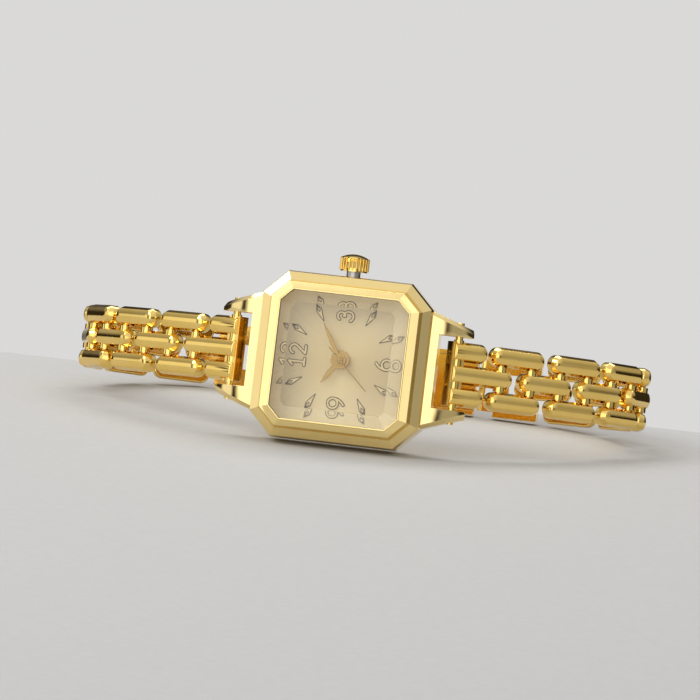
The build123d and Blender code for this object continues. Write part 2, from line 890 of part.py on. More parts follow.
def train_bridge():
    """The bridge behind the train, on two posts that stand on the main plate."""
    width = bridge_left + bridge_right
    height = bridge_top + bridge_bottom
    centre = Pos((bridge_right - bridge_left) / 2, (bridge_top - bridge_bottom) / 2)
    outline = centre * RectangleRounded(width, height, bridge_post_radius)
    bridge = slab(outline, bridge_back_depth, bridge_front_depth)
    for x, z in ((left_post_x, left_post_z), (right_post_x, right_post_z)):
        bridge = bridge + disc(bridge_post_radius, bridge_back_depth, main_plate_back_depth, x, z)
    hole = pivot_radius + pivot_clearance
    for x, z in ((0, 0), (intermediate_x, intermediate_z), (rotor_x, rotor_z)):
        bridge = bridge - disc(hole, 0, bridge_front_depth + overrun, x, z)
    return bridge


def stator():
    """The flat plate that leads the coil's field round the rotor."""
    arm_end = coil_x + coil_flange_radius + coil_seat_gap
    arm_length = rotor_x - arm_end
    arm = Pos(arm_end + arm_length / 2, rotor_z) * Rectangle(arm_length, stator_arm_width)
    shape = arm + Pos(rotor_x, rotor_z) * Circle(stator_ring_radius)
    shape = shape - Pos(rotor_x, rotor_z) * Circle(stator_hole_radius)
    return slab(shape, stator_depth, stator_depth + stator_thickness)


def coil():
    """The wound bobbin along the movement's 12 o'clock edge."""
    top = coil_bottom + coil_length
    winding = upright_rod(coil_radius, coil_bottom, top, x=coil_x, depth=coil_depth)
    for low in (coil_bottom, top - coil_flange_width):
        flange = upright_rod(
            coil_flange_radius, low, low + coil_flange_width, x=coil_x, depth=coil_depth
        )
        winding = winding + flange
    return winding


def battery():
    """The button cell, with its narrower cap towards the plate."""
    front = battery_back_depth + battery_height
    can = disc(battery_radius, battery_back_depth, front - battery_cap_height, battery_x, battery_z)
    can = fillet(edges_at_depth(can, battery_back_depth), battery_edge_round)
    cap = disc(battery_cap_radius, front - battery_cap_height, front, battery_x, battery_z)
    return can + cap


def battery_clamp():
    """The spring strip across the battery's back, with its foot on the main plate."""
    back = battery_back_depth - clamp_clearance - clamp_thickness
    right = battery_x + battery_radius + clamp_clearance + clamp_thickness
    strip_sketch = Pos(right - clamp_reach / 2, battery_z) * Rectangle(clamp_reach, clamp_width)
    strip = slab(strip_sketch, back, back + clamp_thickness)
    leg_sketch = Pos(right - clamp_thickness / 2, battery_z) * Rectangle(
        clamp_thickness, clamp_width
    )
    return strip + slab(leg_sketch, back, main_plate_back_depth)


def circuit_board():
    """The board with its chip and the can of its quartz resonator."""
    width = board_right - board_left
    height = board_high - board_low
    centre = Pos((board_left + board_right) / 2, (board_low + board_high) / 2)
    front = board_back_depth + board_thickness
    board = slab(centre * Rectangle(width, height), board_back_depth, front)
    chip = slab(Pos(chip_x, chip_z) * Rectangle(chip_size, chip_size), front, front + chip_height)
    can = upright_rod(can_radius, can_z, can_z + can_length, x=can_x, depth=front + can_radius)
    return [board, chip, can]


def movement_holder():
    """The plastic ring that centres the movement in the case and carries the dial."""
    outer = (cavity_length - 2 * holder_clearance, cavity_width - 2 * holder_clearance)
    inner = (plate_length + 2 * holder_clearance, plate_width + 2 * holder_clearance)
    holder = ring(outer, inner, holder_back_depth, dial_front_depth - dial_thickness)
    hole = tube_radius + holder_clearance
    return holder - upright_rod(hole, 0, case_flank, depth=crown_depth)


def case_back():
    """The snap back: a plate with a rim that fits inside the case."""
    outline = case_octagon(case_length - 2 * back_edge, case_width - 2 * back_edge)
    plate = slab(outline, 0, case_back_edge_depth)
    plate = chamfer(edges_at_depth(plate, 0), back_edge_chamfer)
    length = cavity_length - 2 * back_rim_clearance
    width = cavity_width - 2 * back_rim_clearance
    rim = ring(
        (length, width),
        (length - 2 * back_rim_width, width - 2 * back_rim_width),
        case_back_edge_depth,
        case_back_edge_depth + back_rim_height,
    )
    return plate + rim


def case_back_gasket():
    """The seal in the groove round the case back."""
    front = case_back_edge_depth + back_gasket_height - back_gasket_gap
    return back_groove_ring(back_gasket_gap, case_back_edge_depth, front)


# Crown and setting work

crown_low = case_flank + crown_seat_gap + crown_slide_travel
crown_high = crown_low + crown_height
crown_roof_low = crown_high - crown_roof
tube_end = case_flank + tube_reach


def crown_profile():
    """Half of the crown's section: radius across, height up from its underside."""
    side_top = crown_height - crown_dome_height
    dome_radius = (crown_radius**2 + crown_dome_height**2) / (2 * crown_dome_height)
    dome_middle_radius = crown_radius / 2
    dome_drop = dome_radius - math.sqrt(dome_radius**2 - dome_middle_radius**2)
    dome_middle_height = crown_height - dome_drop
    return make_face(
        [
            Line((0, 0), (crown_radius - crown_base_chamfer, 0)),
            Line((crown_radius - crown_base_chamfer, 0), (crown_radius, crown_base_chamfer)),
            Line((crown_radius, crown_base_chamfer), (crown_radius, side_top)),
            ThreePointArc(
                (crown_radius, side_top), (dome_middle_radius, dome_middle_height), (0, crown_height)
            ),
            Line((0, crown_height), (0, 0)),
        ]
    )


def crown():
    """The fluted, domed crown, bored for the tube and the stem."""
    body = revolve(Plane.XZ * crown_profile(), Axis.Z)
    body = Pos(0, -crown_depth, crown_low) * body
    for flute in range(flute_count):
        angle = 2 * math.pi * flute / flute_count
        x = crown_radius * math.cos(angle)
        depth = crown_depth + crown_radius * math.sin(angle)
        body = body - upright_rod(
            flute_radius, crown_low - overrun, crown_high + overrun, x=x, depth=depth
        )
    bore = tube_radius + crown_bore_clearance
    body = body - upright_rod(bore, crown_low - overrun, crown_roof_low, depth=crown_depth)
    seat = crown_roof_low + stem_seat
    return body - upright_rod(stem_radius, crown_low, seat, depth=crown_depth)


def crown_tube():
    """The steel tube in the case that the crown slides over."""
    start = cavity_width / 2
    tube = upright_rod(tube_radius, start, tube_end, depth=crown_depth)
    bore = tube_radius - tube_wall
    return tube - upright_rod(bore, start - overrun, tube_end + overrun, depth=crown_depth)


def winding_stem():
    """The stem from the crown's roof down to the setting pinion."""
    seat = crown_roof_low + stem_seat
    return upright_rod(stem_radius, setting_pinion_low - stem_end_proud, seat, depth=crown_depth)


def sliding_pinion():
    """The pinion on the stem that turns the hands when the crown is out."""
    outline = Pos(0, -crown_depth, setting_pinion_low) * gear_sketch(
        setting_pinion_teeth, 2 * setting_pinion_radius / (setting_pinion_teeth + 2)
    )
    body = extrude(outline, amount=setting_pinion_width, dir=crownward)
    bore = stem_radius + stem_clearance
    return body - upright_rod(bore, 0, case_flank, depth=crown_depth)


# Bracelet


def chain_points():
    """The pin centres along one side, as distance from the middle and Y, from the bar out."""
    points = [(bar_x, -bar_depth)]
    steps = [(end_link_heading, end_link_pitch)]
    steps += [(heading, band_pitch) for heading in link_headings]
    for heading, pitch in steps:
        angle = math.radians(heading)
        across, back = points[-1]
        points.append((across + pitch * math.cos(angle), back + pitch * math.sin(angle)))
    return points


def chain_frame(side, across, back, heading):
    """Where a link lies: its X axis runs along the band, its Z axis out from the wrist."""
    angle = math.radians(heading)
    along = (side * math.cos(angle), math.sin(angle), 0)
    outward = (side * math.sin(angle), -math.cos(angle), 0)
    return Plane(origin=(side * across, back, 0), x_dir=along, z_dir=outward).location


def link_frame(side, index):
    """The frame at the middle of a link; index 0 is the first one after the end link."""
    points = chain_points()
    start = points[index + 1]
    end = points[index + 2]
    middle = ((start[0] + end[0]) / 2, (start[1] + end[1]) / 2)
    return chain_frame(side, middle[0], middle[1], link_headings[index])


def cross_rod(radius, low, high, along=0):
    """A rod across the band, in a link's own frame."""
    rod = Cylinder(radius, high - low, align=(Align.CENTER, Align.CENTER, Align.MIN))
    return Pos(along, high, 0) * Rot(90, 0, 0) * rod


def bead():
    """One pill-shaped bead: flat back, upright sides and a well-rounded front."""
    body = extrude(SlotOverall(bead_length, bead_width), amount=bead_thickness / 2, both=True)
    body = fillet(body.faces().sort_by(Axis.Z)[-1].edges(), bead_front_round)
    return fillet(body.faces().sort_by(Axis.Z)[0].edges(), bead_back_round)


def outer_link():
    """Two beads side by side and the two pins pressed into them."""
    seat = row_pitch - bead_width / 2 + link_pin_seat
    solids = []
    for row in (-row_pitch, row_pitch):
        piece = Pos(0, row, 0) * bead()
        for along in (-band_pitch / 2, band_pitch / 2):
            piece = piece - cross_rod(link_pin_radius, -seat, seat, along)
        solids.append(piece)
    for along in (-band_pitch / 2, band_pitch / 2):
        solids.append(cross_rod(link_pin_radius, -seat, seat, along))
    return solids


def middle_link():
    """One bead with a boss round each of its two bores."""
    boss_end = row_pitch - bead_width / 2 - boss_gap
    body = bead()
    for along in (-band_pitch / 2, band_pitch / 2):
        body = body + cross_rod(boss_radius, -boss_end, boss_end, along)
    bore = link_pin_radius + link_bore_clearance
    for along in (-band_pitch / 2, band_pitch / 2):
        body = body - cross_rod(bore, -bead_length, bead_length, along)
    return [body]


def end_bead(length):
    """A bead with a square end at the case, in the end link's frame with the bar at its origin."""
    start = -end_bead_start
    plan = Pos((start + length - bead_width / 2) / 2, 0) * Rectangle(
        length - bead_width / 2 - start, bead_width
    )
    plan = plan + Pos(length - bead_width / 2, 0) * Circle(bead_width / 2)
    body = extrude(plan, amount=bead_thickness / 2, both=True)
    front_edges = body.faces().sort_by(Axis.Z)[-1].edges()
    square_edge = front_edges.sort_by(Axis.X)[0]
    return fillet([edge for edge in front_edges if edge is not square_edge], bead_front_round)


def end_link():
    """Three beads on one cross block, bored for the spring bar and the first link pin."""
    half_band = row_pitch + bead_width / 2
    long_bead = end_link_pitch + (bead_length - band_pitch) / 2
    body = end_bead(long_bead)
    for row in (-row_pitch, row_pitch):
        body = body + Pos(0, row, 0) * end_bead(end_bead_length)
    block_height = end_block_back + end_block_front
    block = Box(
        2 * end_block_length,
        2 * half_band,
        block_height,
        align=(Align.CENTER, Align.CENTER, Align.MIN),
    )
    body = body + Pos(0, 0, -end_block_back) * block
    boss_end = row_pitch - bead_width / 2 - boss_gap
    body = body + cross_rod(boss_radius, -boss_end, boss_end, end_link_pitch)
    bar_bore = bar_radius + end_bore_clearance
    body = body - cross_rod(bar_bore, -bead_length, bead_length)
    pin_bore = link_pin_radius + link_bore_clearance
    return body - cross_rod(pin_bore, -bead_length, bead_length, end_link_pitch)


# Clasp

clasp_end_x, clasp_end_y = chain_points()[-1]
clasp_arc_radius = (clasp_end_x**2 + clasp_bulge**2) / (2 * clasp_bulge)
clasp_arc_y = clasp_end_y + clasp_bulge - clasp_arc_radius


def clasp_strip(left, right, inner_offset, outer_offset, low, high):
    """A gently curved strip behind the wrist; offsets are measured outward from the pin line."""
    outer = Circle(clasp_arc_radius + outer_offset)
    inner = Circle(clasp_arc_radius + inner_offset)
    window = Pos((left + right) / 2, clasp_arc_radius) * Rectangle(right - left, clasp_arc_radius)
    profile = Pos(0, clasp_arc_y) * ((outer - inner) & window)
    return extrude(Plane.XY.offset(low) * profile, amount=high - low, dir=crownward)


def clasp_line_y(x, offset=0):
    """The Y of the clasp's pin line, or of a line beside it, at some X."""
    return clasp_arc_y + math.sqrt((clasp_arc_radius + offset) ** 2 - x**2)


def clasp_end_piece(side, end):
    """A clasp plate up to the butt line, with two cheeks and the pin of the last middle link."""
    pin_x = side * clasp_end_x
    spans = (
        (pin_x - side * clasp_plate_start, end, clasp_front_offset, clasp_width / 2, 0),
        (
            pin_x + side * clasp_cheek_start,
            pin_x - side * clasp_cheek_length,
            -clasp_back_offset,
            row_pitch + bead_width / 2,
            row_pitch - bead_width / 2,
        ),
    )
    body = Part()
    for first, second, front, high, low in spans:
        left = min(first, second)
        right = max(first, second)
        strip = clasp_strip(left, right, clasp_back_offset, front, low, high)
        body = body + strip + mirror(strip, Plane.XY)
    half_band = row_pitch + bead_width / 2 - link_pin_radius
    return body + upright_rod(link_pin_radius, -half_band, half_band, pin_x, -clasp_end_y)


cover_hinge_x = -clasp_end_x + cover_hinge_inset
cover_hinge_y = clasp_line_y(cover_hinge_x)


def clasp_base():
    """The inner half of the clasp on the 12 o'clock side, with the cover's knuckle and a lip."""
    end = clasp_butt_x - clasp_butt_gap / 2
    body = clasp_end_piece(-1, end)
    lip = clasp_strip(
        end - clasp_lip_length,
        end,
        clasp_front_offset,
        clasp_front_offset + clasp_lip_height,
        -slot_width / 2,
        slot_width / 2,
    )
    knuckle = upright_rod(
        knuckle_radius, -knuckle_width / 2, knuckle_width / 2, cover_hinge_x, -cover_hinge_y
    )
    bore = upright_rod(
        knuckle_pin_radius + knuckle_bore_clearance,
        -clasp_width,
        clasp_width,
        cover_hinge_x,
        -cover_hinge_y,
    )
    return body + lip + knuckle - bore


def clasp_cover():
    """The outer half of the clasp, which swings open on its pin."""
    right = clasp_butt_x - clasp_butt_gap / 2
    inner_half = clasp_width / 2 + cover_side_clearance
    outer_half = inner_half + cover_wall
    plate_left = cover_hinge_x + cover_plate_inset
    wall_left = cover_hinge_x - cover_wall_inset
    plate = clasp_strip(
        plate_left, right, cover_back_offset, cover_front_offset, -outer_half, outer_half
    )
    wall = clasp_strip(
        wall_left, right, clasp_back_offset, cover_front_offset, inner_half, outer_half
    )
    pin = upright_rod(
        knuckle_pin_radius,
        -inner_half - cover_wall / 2,
        inner_half + cover_wall / 2,
        cover_hinge_x,
        -cover_hinge_y,
    )
    return plate + wall + mirror(wall, Plane.XY) + pin


def hook_plate():
    """The short clasp piece on the 6 o'clock side, with a slot and a crossbar for the lip."""
    start = clasp_butt_x + clasp_butt_gap / 2
    body = clasp_end_piece(1, start)
    slot_left = start + 2 * crossbar_radius
    slot = clasp_strip(
        slot_left,
        slot_left + slot_length,
        clasp_back_offset - overrun,
        clasp_front_offset + overrun,
        -slot_width / 2,
        slot_width / 2,
    )
    bar_x_middle = start + crossbar_radius
    bar_y = clasp_line_y(bar_x_middle, (clasp_back_offset + clasp_front_offset) / 2)
    bar = upright_rod(crossbar_radius, -clasp_width / 2, clasp_width / 2, bar_x_middle, -bar_y)
    return body - slot + bar


# Nodes


def save(name, *shapes):
    """Writes one node from its solids."""
    solids = [solid for shape in shapes for solid in shape.solids()]
    node = Compound(children=solids) if len(solids) > 1 else solids[0]
    export_step(node, os.path.join("parts", name + ".step"))


def save_head():
    """The case and everything in it."""
    save("case_middle", case_middle())
    save("spring_bars", *spring_bars())
    save("bezel", bezel())
    save("crystal", crystal())
    save("crystal_gasket", crystal_gasket())
    save("dial", dial())
    save("dial_numerals", *dial_numerals())
    save("dial_markers", *dial_markers())
    save("movement_holder", movement_holder())
    save("case_back", case_back())
    save("case_back_gasket", case_back_gasket())
    save("crown_tube", crown_tube())
    save("crown", crown())
    save("winding_stem", winding_stem())
    save("sliding_pinion", sliding_pinion())


def save_movement():
    """The movement and the hands."""
    save("main_plate", main_plate())
    save("train_bridge", train_bridge())
    save("circuit_board", *circuit_board())
    save("coil", coil())
    save("stator", stator())
    save("battery", battery())
    save("battery_clamp", battery_clamp())
    save("rotor", rotor())
    save("intermediate_wheel", intermediate_wheel())
    save("seconds_wheel", seconds_wheel())
    save("second_hand", second_hand())
    save("cannon_pinion", cannon_pinion())
    save("minute_hand", minute_hand())
    save("minute_wheel", minute_wheel())
    save("hour_wheel", hour_wheel())
    save("hour_hand", hour_hand())


def save_bracelet():
    """Both sides of the bracelet and the clasp."""
    for side, hour in ((-1, "12"), (1, "6")):
        first = chain_points()[0]
        root_frame = chain_frame(side, first[0], first[1], end_link_heading)
        save("end_link_" + hour, root_frame * end_link())
        for index in range(len(link_headings)):
            number = str(index // 2 + 1)
            place = link_frame(side, index)
            if index % 2:
                solids = middle_link()
                name = "middle_link_" + hour + "_" + number
            else:
                solids = outer_link()
                name = "outer_link_" + hour + "_" + number
            save(name, *[place * solid for solid in solids])
    save("clasp_base", clasp_base())
    save("clasp_cover", clasp_cover())
    save("hook_plate", hook_plate())


os.makedirs("parts", exist_ok=True)
save_head()
save_movement()
save_bracelet()
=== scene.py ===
import json
import logging
import math
from dataclasses import dataclass
from enum import Enum
from typing import Any, Sequence

import bmesh
import bpy
from mathutils import Matrix, Vector


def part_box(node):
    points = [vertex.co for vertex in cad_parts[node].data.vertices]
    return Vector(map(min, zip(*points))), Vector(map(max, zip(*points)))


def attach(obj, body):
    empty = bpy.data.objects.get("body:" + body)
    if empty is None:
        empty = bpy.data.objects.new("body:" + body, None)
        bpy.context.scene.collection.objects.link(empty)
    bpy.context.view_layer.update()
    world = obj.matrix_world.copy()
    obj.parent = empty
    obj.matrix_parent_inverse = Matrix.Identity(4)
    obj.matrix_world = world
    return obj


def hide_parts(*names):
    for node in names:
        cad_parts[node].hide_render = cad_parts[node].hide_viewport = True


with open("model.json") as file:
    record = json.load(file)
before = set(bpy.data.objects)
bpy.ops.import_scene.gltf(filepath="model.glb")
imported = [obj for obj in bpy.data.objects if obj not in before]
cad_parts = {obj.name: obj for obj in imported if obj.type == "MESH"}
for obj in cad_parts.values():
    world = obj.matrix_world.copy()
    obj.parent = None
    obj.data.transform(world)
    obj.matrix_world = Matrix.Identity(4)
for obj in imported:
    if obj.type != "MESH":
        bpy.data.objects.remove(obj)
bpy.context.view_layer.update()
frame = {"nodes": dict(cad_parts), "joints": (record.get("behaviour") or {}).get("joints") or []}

# A small square dress watch on a three-row beaded bracelet, dressed over its CAD frame.
# X runs from 12 o'clock (-X) to 6 o'clock (+X), Z from 9 o'clock up to 3 o'clock, and the dial
# faces -Y. Shapes are in millimetres, and MM turns them into metres; the finishes' scales are
# cells per metre, and their heights and reaches metres. Angles are degrees.

MM = 0.001
MERGE = 0.0008
SMOOTH_ANGLE = 28.0

Pair = tuple[float, float]
Triple = tuple[float, float, float]
Colour = tuple[float, float, float, float]
Material = bpy.types.Material
Mesh = bpy.types.Mesh
Shape = bmesh.types.BMesh

log = logging.getLogger("square_watch")


class Hour(Enum):
    """The two ends of the case, by the number in the names of the bodies there."""

    TWELVE = "12"
    SIX = "6"

    @property
    def side(self) -> int:
        """The sign of X at this end."""
        return 1 if self is Hour.SIX else -1


class Slot(Enum):
    """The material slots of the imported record, and the floor's."""

    GOLD = "polished_gold"
    GLASS = "watch_glass"
    DIAL = "champagne_dial"
    RELIEF = "dial_relief"
    HANDS = "hand_gold"
    STEEL = "steel"
    BRASS = "movement_brass"
    RUBBER = "seal_rubber"
    HOLDER = "holder_plastic"
    BOARD = "board_plastic"
    COPPER = "coil_copper"
    PAPER = "studio_paper"


# Node graphs


@dataclass(frozen=True)
class Channel:
    """A node's output that takes part in sums: each operator adds one Math node."""

    graph: "Graph"
    node: bpy.types.Node
    place: str | int = 0

    @property
    def socket(self) -> bpy.types.NodeSocket:
        """The output socket itself."""
        return self.node.outputs[self.place]

    def out(self, place: str | int) -> "Channel":
        """Another output of the same node, by name or by place."""
        return Channel(self.graph, self.node, place)

    def __add__(self, other: Any) -> "Channel":
        """This plus another."""
        return self.graph.math("ADD", self, other)

    def __sub__(self, other: Any) -> "Channel":
        """This less another."""
        return self.graph.math("SUBTRACT", self, other)

    def __rsub__(self, other: Any) -> "Channel":
        """Another less this."""
        return self.graph.math("SUBTRACT", other, self)

    def __mul__(self, other: Any) -> "Channel":
        """This times another."""
        return self.graph.math("MULTIPLY", self, other)

    def __truediv__(self, other: Any) -> "Channel":
        """This over another."""
        return self.graph.math("DIVIDE", self, other)

    def clamped(self) -> "Channel":
        """This kept between 0 and 1."""
        return self.graph.math("MINIMUM", self.graph.math("MAXIMUM", self, 0.0), 1.0)


class Graph:
    """A node tree that is filled through one method."""

    def __init__(self, tree: bpy.types.NodeTree) -> None:
        """Takes over a tree and empties it."""
        self.tree = tree
        tree.nodes.clear()

    def add(
        self, kind: str, values: dict[str | int, Any] | None = None, **settings: Any
    ) -> Channel:
        """Adds a node.

        Args:
            kind: the node's type.
            values: what its sockets get, a channel to link or a value to set.
            settings: the node's own settings, which are made first.

        Returns:
            The node's first output.
        """
        node = self.tree.nodes.new(kind)
        for name, value in settings.items():
            setattr(node, name, value)
        for name, value in (values or {}).items():
            if isinstance(value, Channel):
                self.tree.links.new(value.socket, node.inputs[name])
            else:
                node.inputs[name].default_value = value
        return Channel(self, node)

    def math(self, operation: str, *values: Any) -> Channel:
        """Adds a Math node over channels or numbers."""
        return self.add("ShaderNodeMath", dict(enumerate(values)), operation=operation)

    def blend(self, factor: Any, first: Any, second: Any) -> Channel:
        """A mix of two colours, with as much of the second as the factor says."""
        return self.add("ShaderNodeMix", {0: factor, 6: first, 7: second}, data_type="RGBA").out(2)

    def fade(self, value: Channel, width: Pair) -> Channel:
        """A smooth step from 0 where the width starts to 1 where it ends."""
        values = {"Value": value, "From Min": width[0], "From Max": width[1]}
        return self.add("ShaderNodeMapRange", values, interpolation_type="SMOOTHSTEP")

    def axes(self, vector: Channel) -> list[Channel]:
        """A vector's X, Y and Z."""
        parts = self.add("ShaderNodeSeparateXYZ", {"Vector": vector})
        return [parts.out(axis) for axis in "XYZ"]


class Recipe(Graph):
    """A material's graph, with the parts that the finishes share."""

    def __init__(self, name: str) -> None:
        """Makes an empty material of this name."""
        self.material = bpy.data.materials.new(name)
        self.material.use_nodes = True
        super().__init__(self.material.node_tree)

    def place(self, scale: Triple = (1, 1, 1), turn: Triple = (0, 0, 0)) -> Channel:
        """The Object coordinates, scaled along each axis and turned by radians."""
        source = self.add("ShaderNodeTexCoord").out("Object")
        return self.add("ShaderNodeMapping", {"Vector": source, "Rotation": turn, "Scale": scale})

    def noise(self, scale: float, detail: float = 2.0, stretch: Triple = (1, 1, 1)) -> Channel:
        """A noise from 0 to 1 in Object coordinates, with some finer layers, scaled by axis."""
        values = {"Vector": self.place(stretch), "Scale": scale, "Detail": detail}
        return self.add("ShaderNodeTexNoise", values).out("Fac")

    def bump(self, height: Channel, distance: float) -> Channel:
        """A normal from a height, where a height of 1 stands out by the distance in metres."""
        return self.add("ShaderNodeBump", {"Height": height, "Distance": distance, "Strength": 1.0})

    def mark(self, name: str) -> Channel:
        """The value that a mesh keeps under a name, and 0 where it keeps none."""
        return self.add("ShaderNodeAttribute", attribute_name=name).out("Fac")

    def finish(self, values: dict[str, Any]) -> Material:
        """Ends the graph in a Principled shader with these values."""
        return self.end(self.add("ShaderNodeBsdfPrincipled", values))

    def end(self, surface: Channel) -> Material:
        """Links the surface to the material's output."""
        self.add("ShaderNodeOutputMaterial", {"Surface": surface})
        return self.material


# Finishes


@dataclass(frozen=True)
class PolishedGold:
    """Mirror-polished plated metal with hairline scratches, cloudier patches and painted light on
    its rounded edges.
    """

    name: str = "polished_gold"
    light: Colour = (0.97, 0.71, 0.24, 1)
    deep: Colour = (0.87, 0.58, 0.14, 1)
    # Painted highlight: the pale colour that the rounded edges take.
    edge: Colour = (1.0, 0.83, 0.44, 1)
    pale: Colour = (0.97, 0.80, 0.42, 1)
    edge_share: float = 0.6
    pale_share: float = 0.55
    roughness: float = 0.06
    cloud_haze: float = 0.05
    hairline_haze: float = 0.03
    edge_gloss: float = 0.02
    cloud_scale: float = 420.0
    hairline_scale: float = 900.0
    hairline_stretch: Triple = (1.0, 14.0, 16.0)
    hairline_height: float = 1.6e-6
    ripple_scale: float = 340.0
    ripple_height: float = 1.3e-5

    def make(self) -> Material:
        """Builds the material."""
        mix = Recipe(self.name)
        cloud = mix.noise(self.cloud_scale, detail=3.0)
        hairline = mix.noise(self.hairline_scale, detail=4.0, stretch=self.hairline_stretch)
        ripple = mix.noise(self.ripple_scale, detail=1.0)
        # Painted light on the rounded edges: the edge colour is a painted highlight on the gold and
        # a dark painted shade line on the hands.
        painted_edge_light = mix.mark("edge")
        colour = mix.blend(cloud, self.deep, self.light)
        colour = mix.blend(mix.mark("pale") * self.pale_share, colour, self.pale)
        haze = cloud * self.cloud_haze + hairline * self.hairline_haze + self.roughness
        height = ripple * self.ripple_height + hairline * self.hairline_height
        return mix.finish({
            "Base Color": mix.blend(painted_edge_light * self.edge_share, colour, self.edge),
            "Metallic": 1.0,
            "Roughness": haze - painted_edge_light * self.edge_gloss,
            "Normal": mix.bump(height, 1.0),
        })


@dataclass(frozen=True)
class GrainedFinish:
    """Fine grain over wider patches: brushed metal, cut relief, plastic or paper."""

    name: str
    base: Colour
    over: Colour
    edge: Colour | None = None
    metallic: float = 0.0
    roughness: float = 0.42
    scale: float = 5200.0
    detail: float = 3.0
    stretch: Triple = (1, 1, 1)
    haze: float = 0.2
    height: float = 6e-6
    share: float = 0.3
    patch_share: float = 0.7
    patch_scale: float = 260.0

    def make(self) -> Material:
        """Builds the material."""
        mix = Recipe(self.name)
        grain = mix.noise(self.scale, self.detail, self.stretch)
        shade = grain * self.share + mix.noise(self.patch_scale) * self.patch_share
        colour = mix.blend(shade, self.base, self.over)
        # An edge colour is painted on the marked edges: on the relief it is painted shade round the
        # strokes.
        if self.edge:
            colour = mix.blend(mix.mark("edge"), colour, self.edge)
        return mix.finish({
            "Base Color": colour,
            "Metallic": self.metallic,
            "Roughness": grain * self.haze + self.roughness,
            "Normal": mix.bump(grain, self.height),
        })


@dataclass(frozen=True)
class TurnedCopper:
    """Enamelled wire, wound in fine turns along the coil."""

    name: str = "wound_copper"
    light: Colour = (0.72, 0.25, 0.09, 1)
    deep: Colour = (0.28, 0.07, 0.02, 1)
    metallic: float = 0.7
    roughness: float = 0.3
    turn_haze: float = 0.1
    turn_scale: float = 700.0
    turn_height: float = 1.2e-5
    sway: float = 0.4

    def make(self) -> Material:
        """Builds the material."""
        mix = Recipe(self.name)
        turns = mix.add(
            "ShaderNodeTexWave",
            {"Vector": mix.place(), "Scale": self.turn_scale, "Distortion": self.sway},
            wave_type="BANDS",
            bands_direction="Z",
        ).out("Fac")
        return mix.finish({
            "Base Color": mix.blend(turns, self.deep, self.light),
            "Metallic": self.metallic,
            "Roughness": turns * self.turn_haze + self.roughness,
            "Normal": mix.bump(turns, self.turn_height),
        })


@dataclass(frozen=True)
class CircuitPlastic:
    """A board with copper tracks under its lacquer."""

    name: str = "lacquered_board"
    lacquer: Colour = (0.01, 0.09, 0.035, 1)
    track: Colour = (0.05, 0.22, 0.09, 1)
    roughness: float = 0.25
    grain_scale: float = 4000.0
    grain_haze: float = 0.15
    track_scale: float = 1100.0
    track_width: float = 0.06
    track_coat: float = 0.3
    track_height: float = 1.5e-5

    def make(self) -> Material:
        """Builds the material."""
        mix = Recipe(self.name)
        place = mix.place(turn=(math.radians(90), 0, 0))
        values = {"Vector": place, "Scale": self.track_scale, "Mortar Size": self.track_width}
        tracks = mix.add("ShaderNodeTexBrick", values, offset=0.5).out("Fac")
        return mix.finish({
            "Base Color": mix.blend(tracks, self.lacquer, self.track),
            "Roughness": mix.noise(self.grain_scale) * self.grain_haze + self.roughness,
            "Coat Weight": tracks * self.track_coat,
            "Normal": mix.bump(tracks, self.track_height),
        })


@dataclass(frozen=True)
class SunrayDial:
    """Champagne lacquer over a plate brushed outward from the middle, with soft fans of light and a
    warm glow about the middle, both painted into its colour.

    Each fan has its number of arms, where it starts in radians, and its share.
    """

    name: str = "champagne_sunray"
    light: Colour = (0.93, 0.76, 0.45, 1)
    deep: Colour = (0.60, 0.45, 0.23, 1)
    painted_glow: Colour = (0.95, 0.73, 0.34, 1)
    painted_glow_reach: float = 0.0062
    painted_glow_share: float = 0.7
    painted_light_fans: tuple[Triple, ...] = ((2.0, 3.3, 0.5), (3.0, -1.9, 0.25))
    ray_share: float = 0.45
    ray_density: float = 34.0
    ray_change: float = 60.0
    ray_height: float = 7e-6
    metallic: float = 0.45
    roughness: float = 0.3
    ray_haze: float = 0.16
    coat: float = 0.25
    ray_coat: float = 0.1
    coat_roughness: float = 0.08

    def make(self) -> Material:
        """Builds the material."""
        mix = Recipe(self.name)
        x, _, z = mix.axes(mix.place())
        angle = mix.math("ARCTAN2", z, x)
        reach = mix.math("POWER", x * x + z * z, 0.5)
        values = {
            0: mix.math("COSINE", angle) * self.ray_density,
            1: mix.math("SINE", angle) * self.ray_density,
            2: reach * self.ray_change,
        }
        values = {"Vector": mix.add("ShaderNodeCombineXYZ", values), "Scale": 1.0, "Detail": 3.0}
        rays = mix.add("ShaderNodeTexNoise", values).out("Fac")
        shade = rays * self.ray_share
        # Painted sheen: fans of light and shade round the middle, by angle, over the brushed rays.
        for turns, start, share in self.painted_light_fans:
            painted_fan = mix.math("COSINE", angle * turns + start) * 0.5 + 0.5
            shade = shade + painted_fan * share
        colour = mix.blend(shade.clamped(), self.deep, self.light)
        # Painted glow: a warmer, brighter tone near the middle.
        near = (1.0 - reach / self.painted_glow_reach).clamped()
        return mix.finish({
            "Base Color": mix.blend(near * self.painted_glow_share, colour, self.painted_glow),
            "Metallic": self.metallic,
            "Roughness": rays * self.ray_haze + self.roughness,
            "Coat Weight": rays * self.ray_coat + self.coat,
            "Coat Roughness": self.coat_roughness,
            "Normal": mix.bump(rays, self.ray_height),
        })


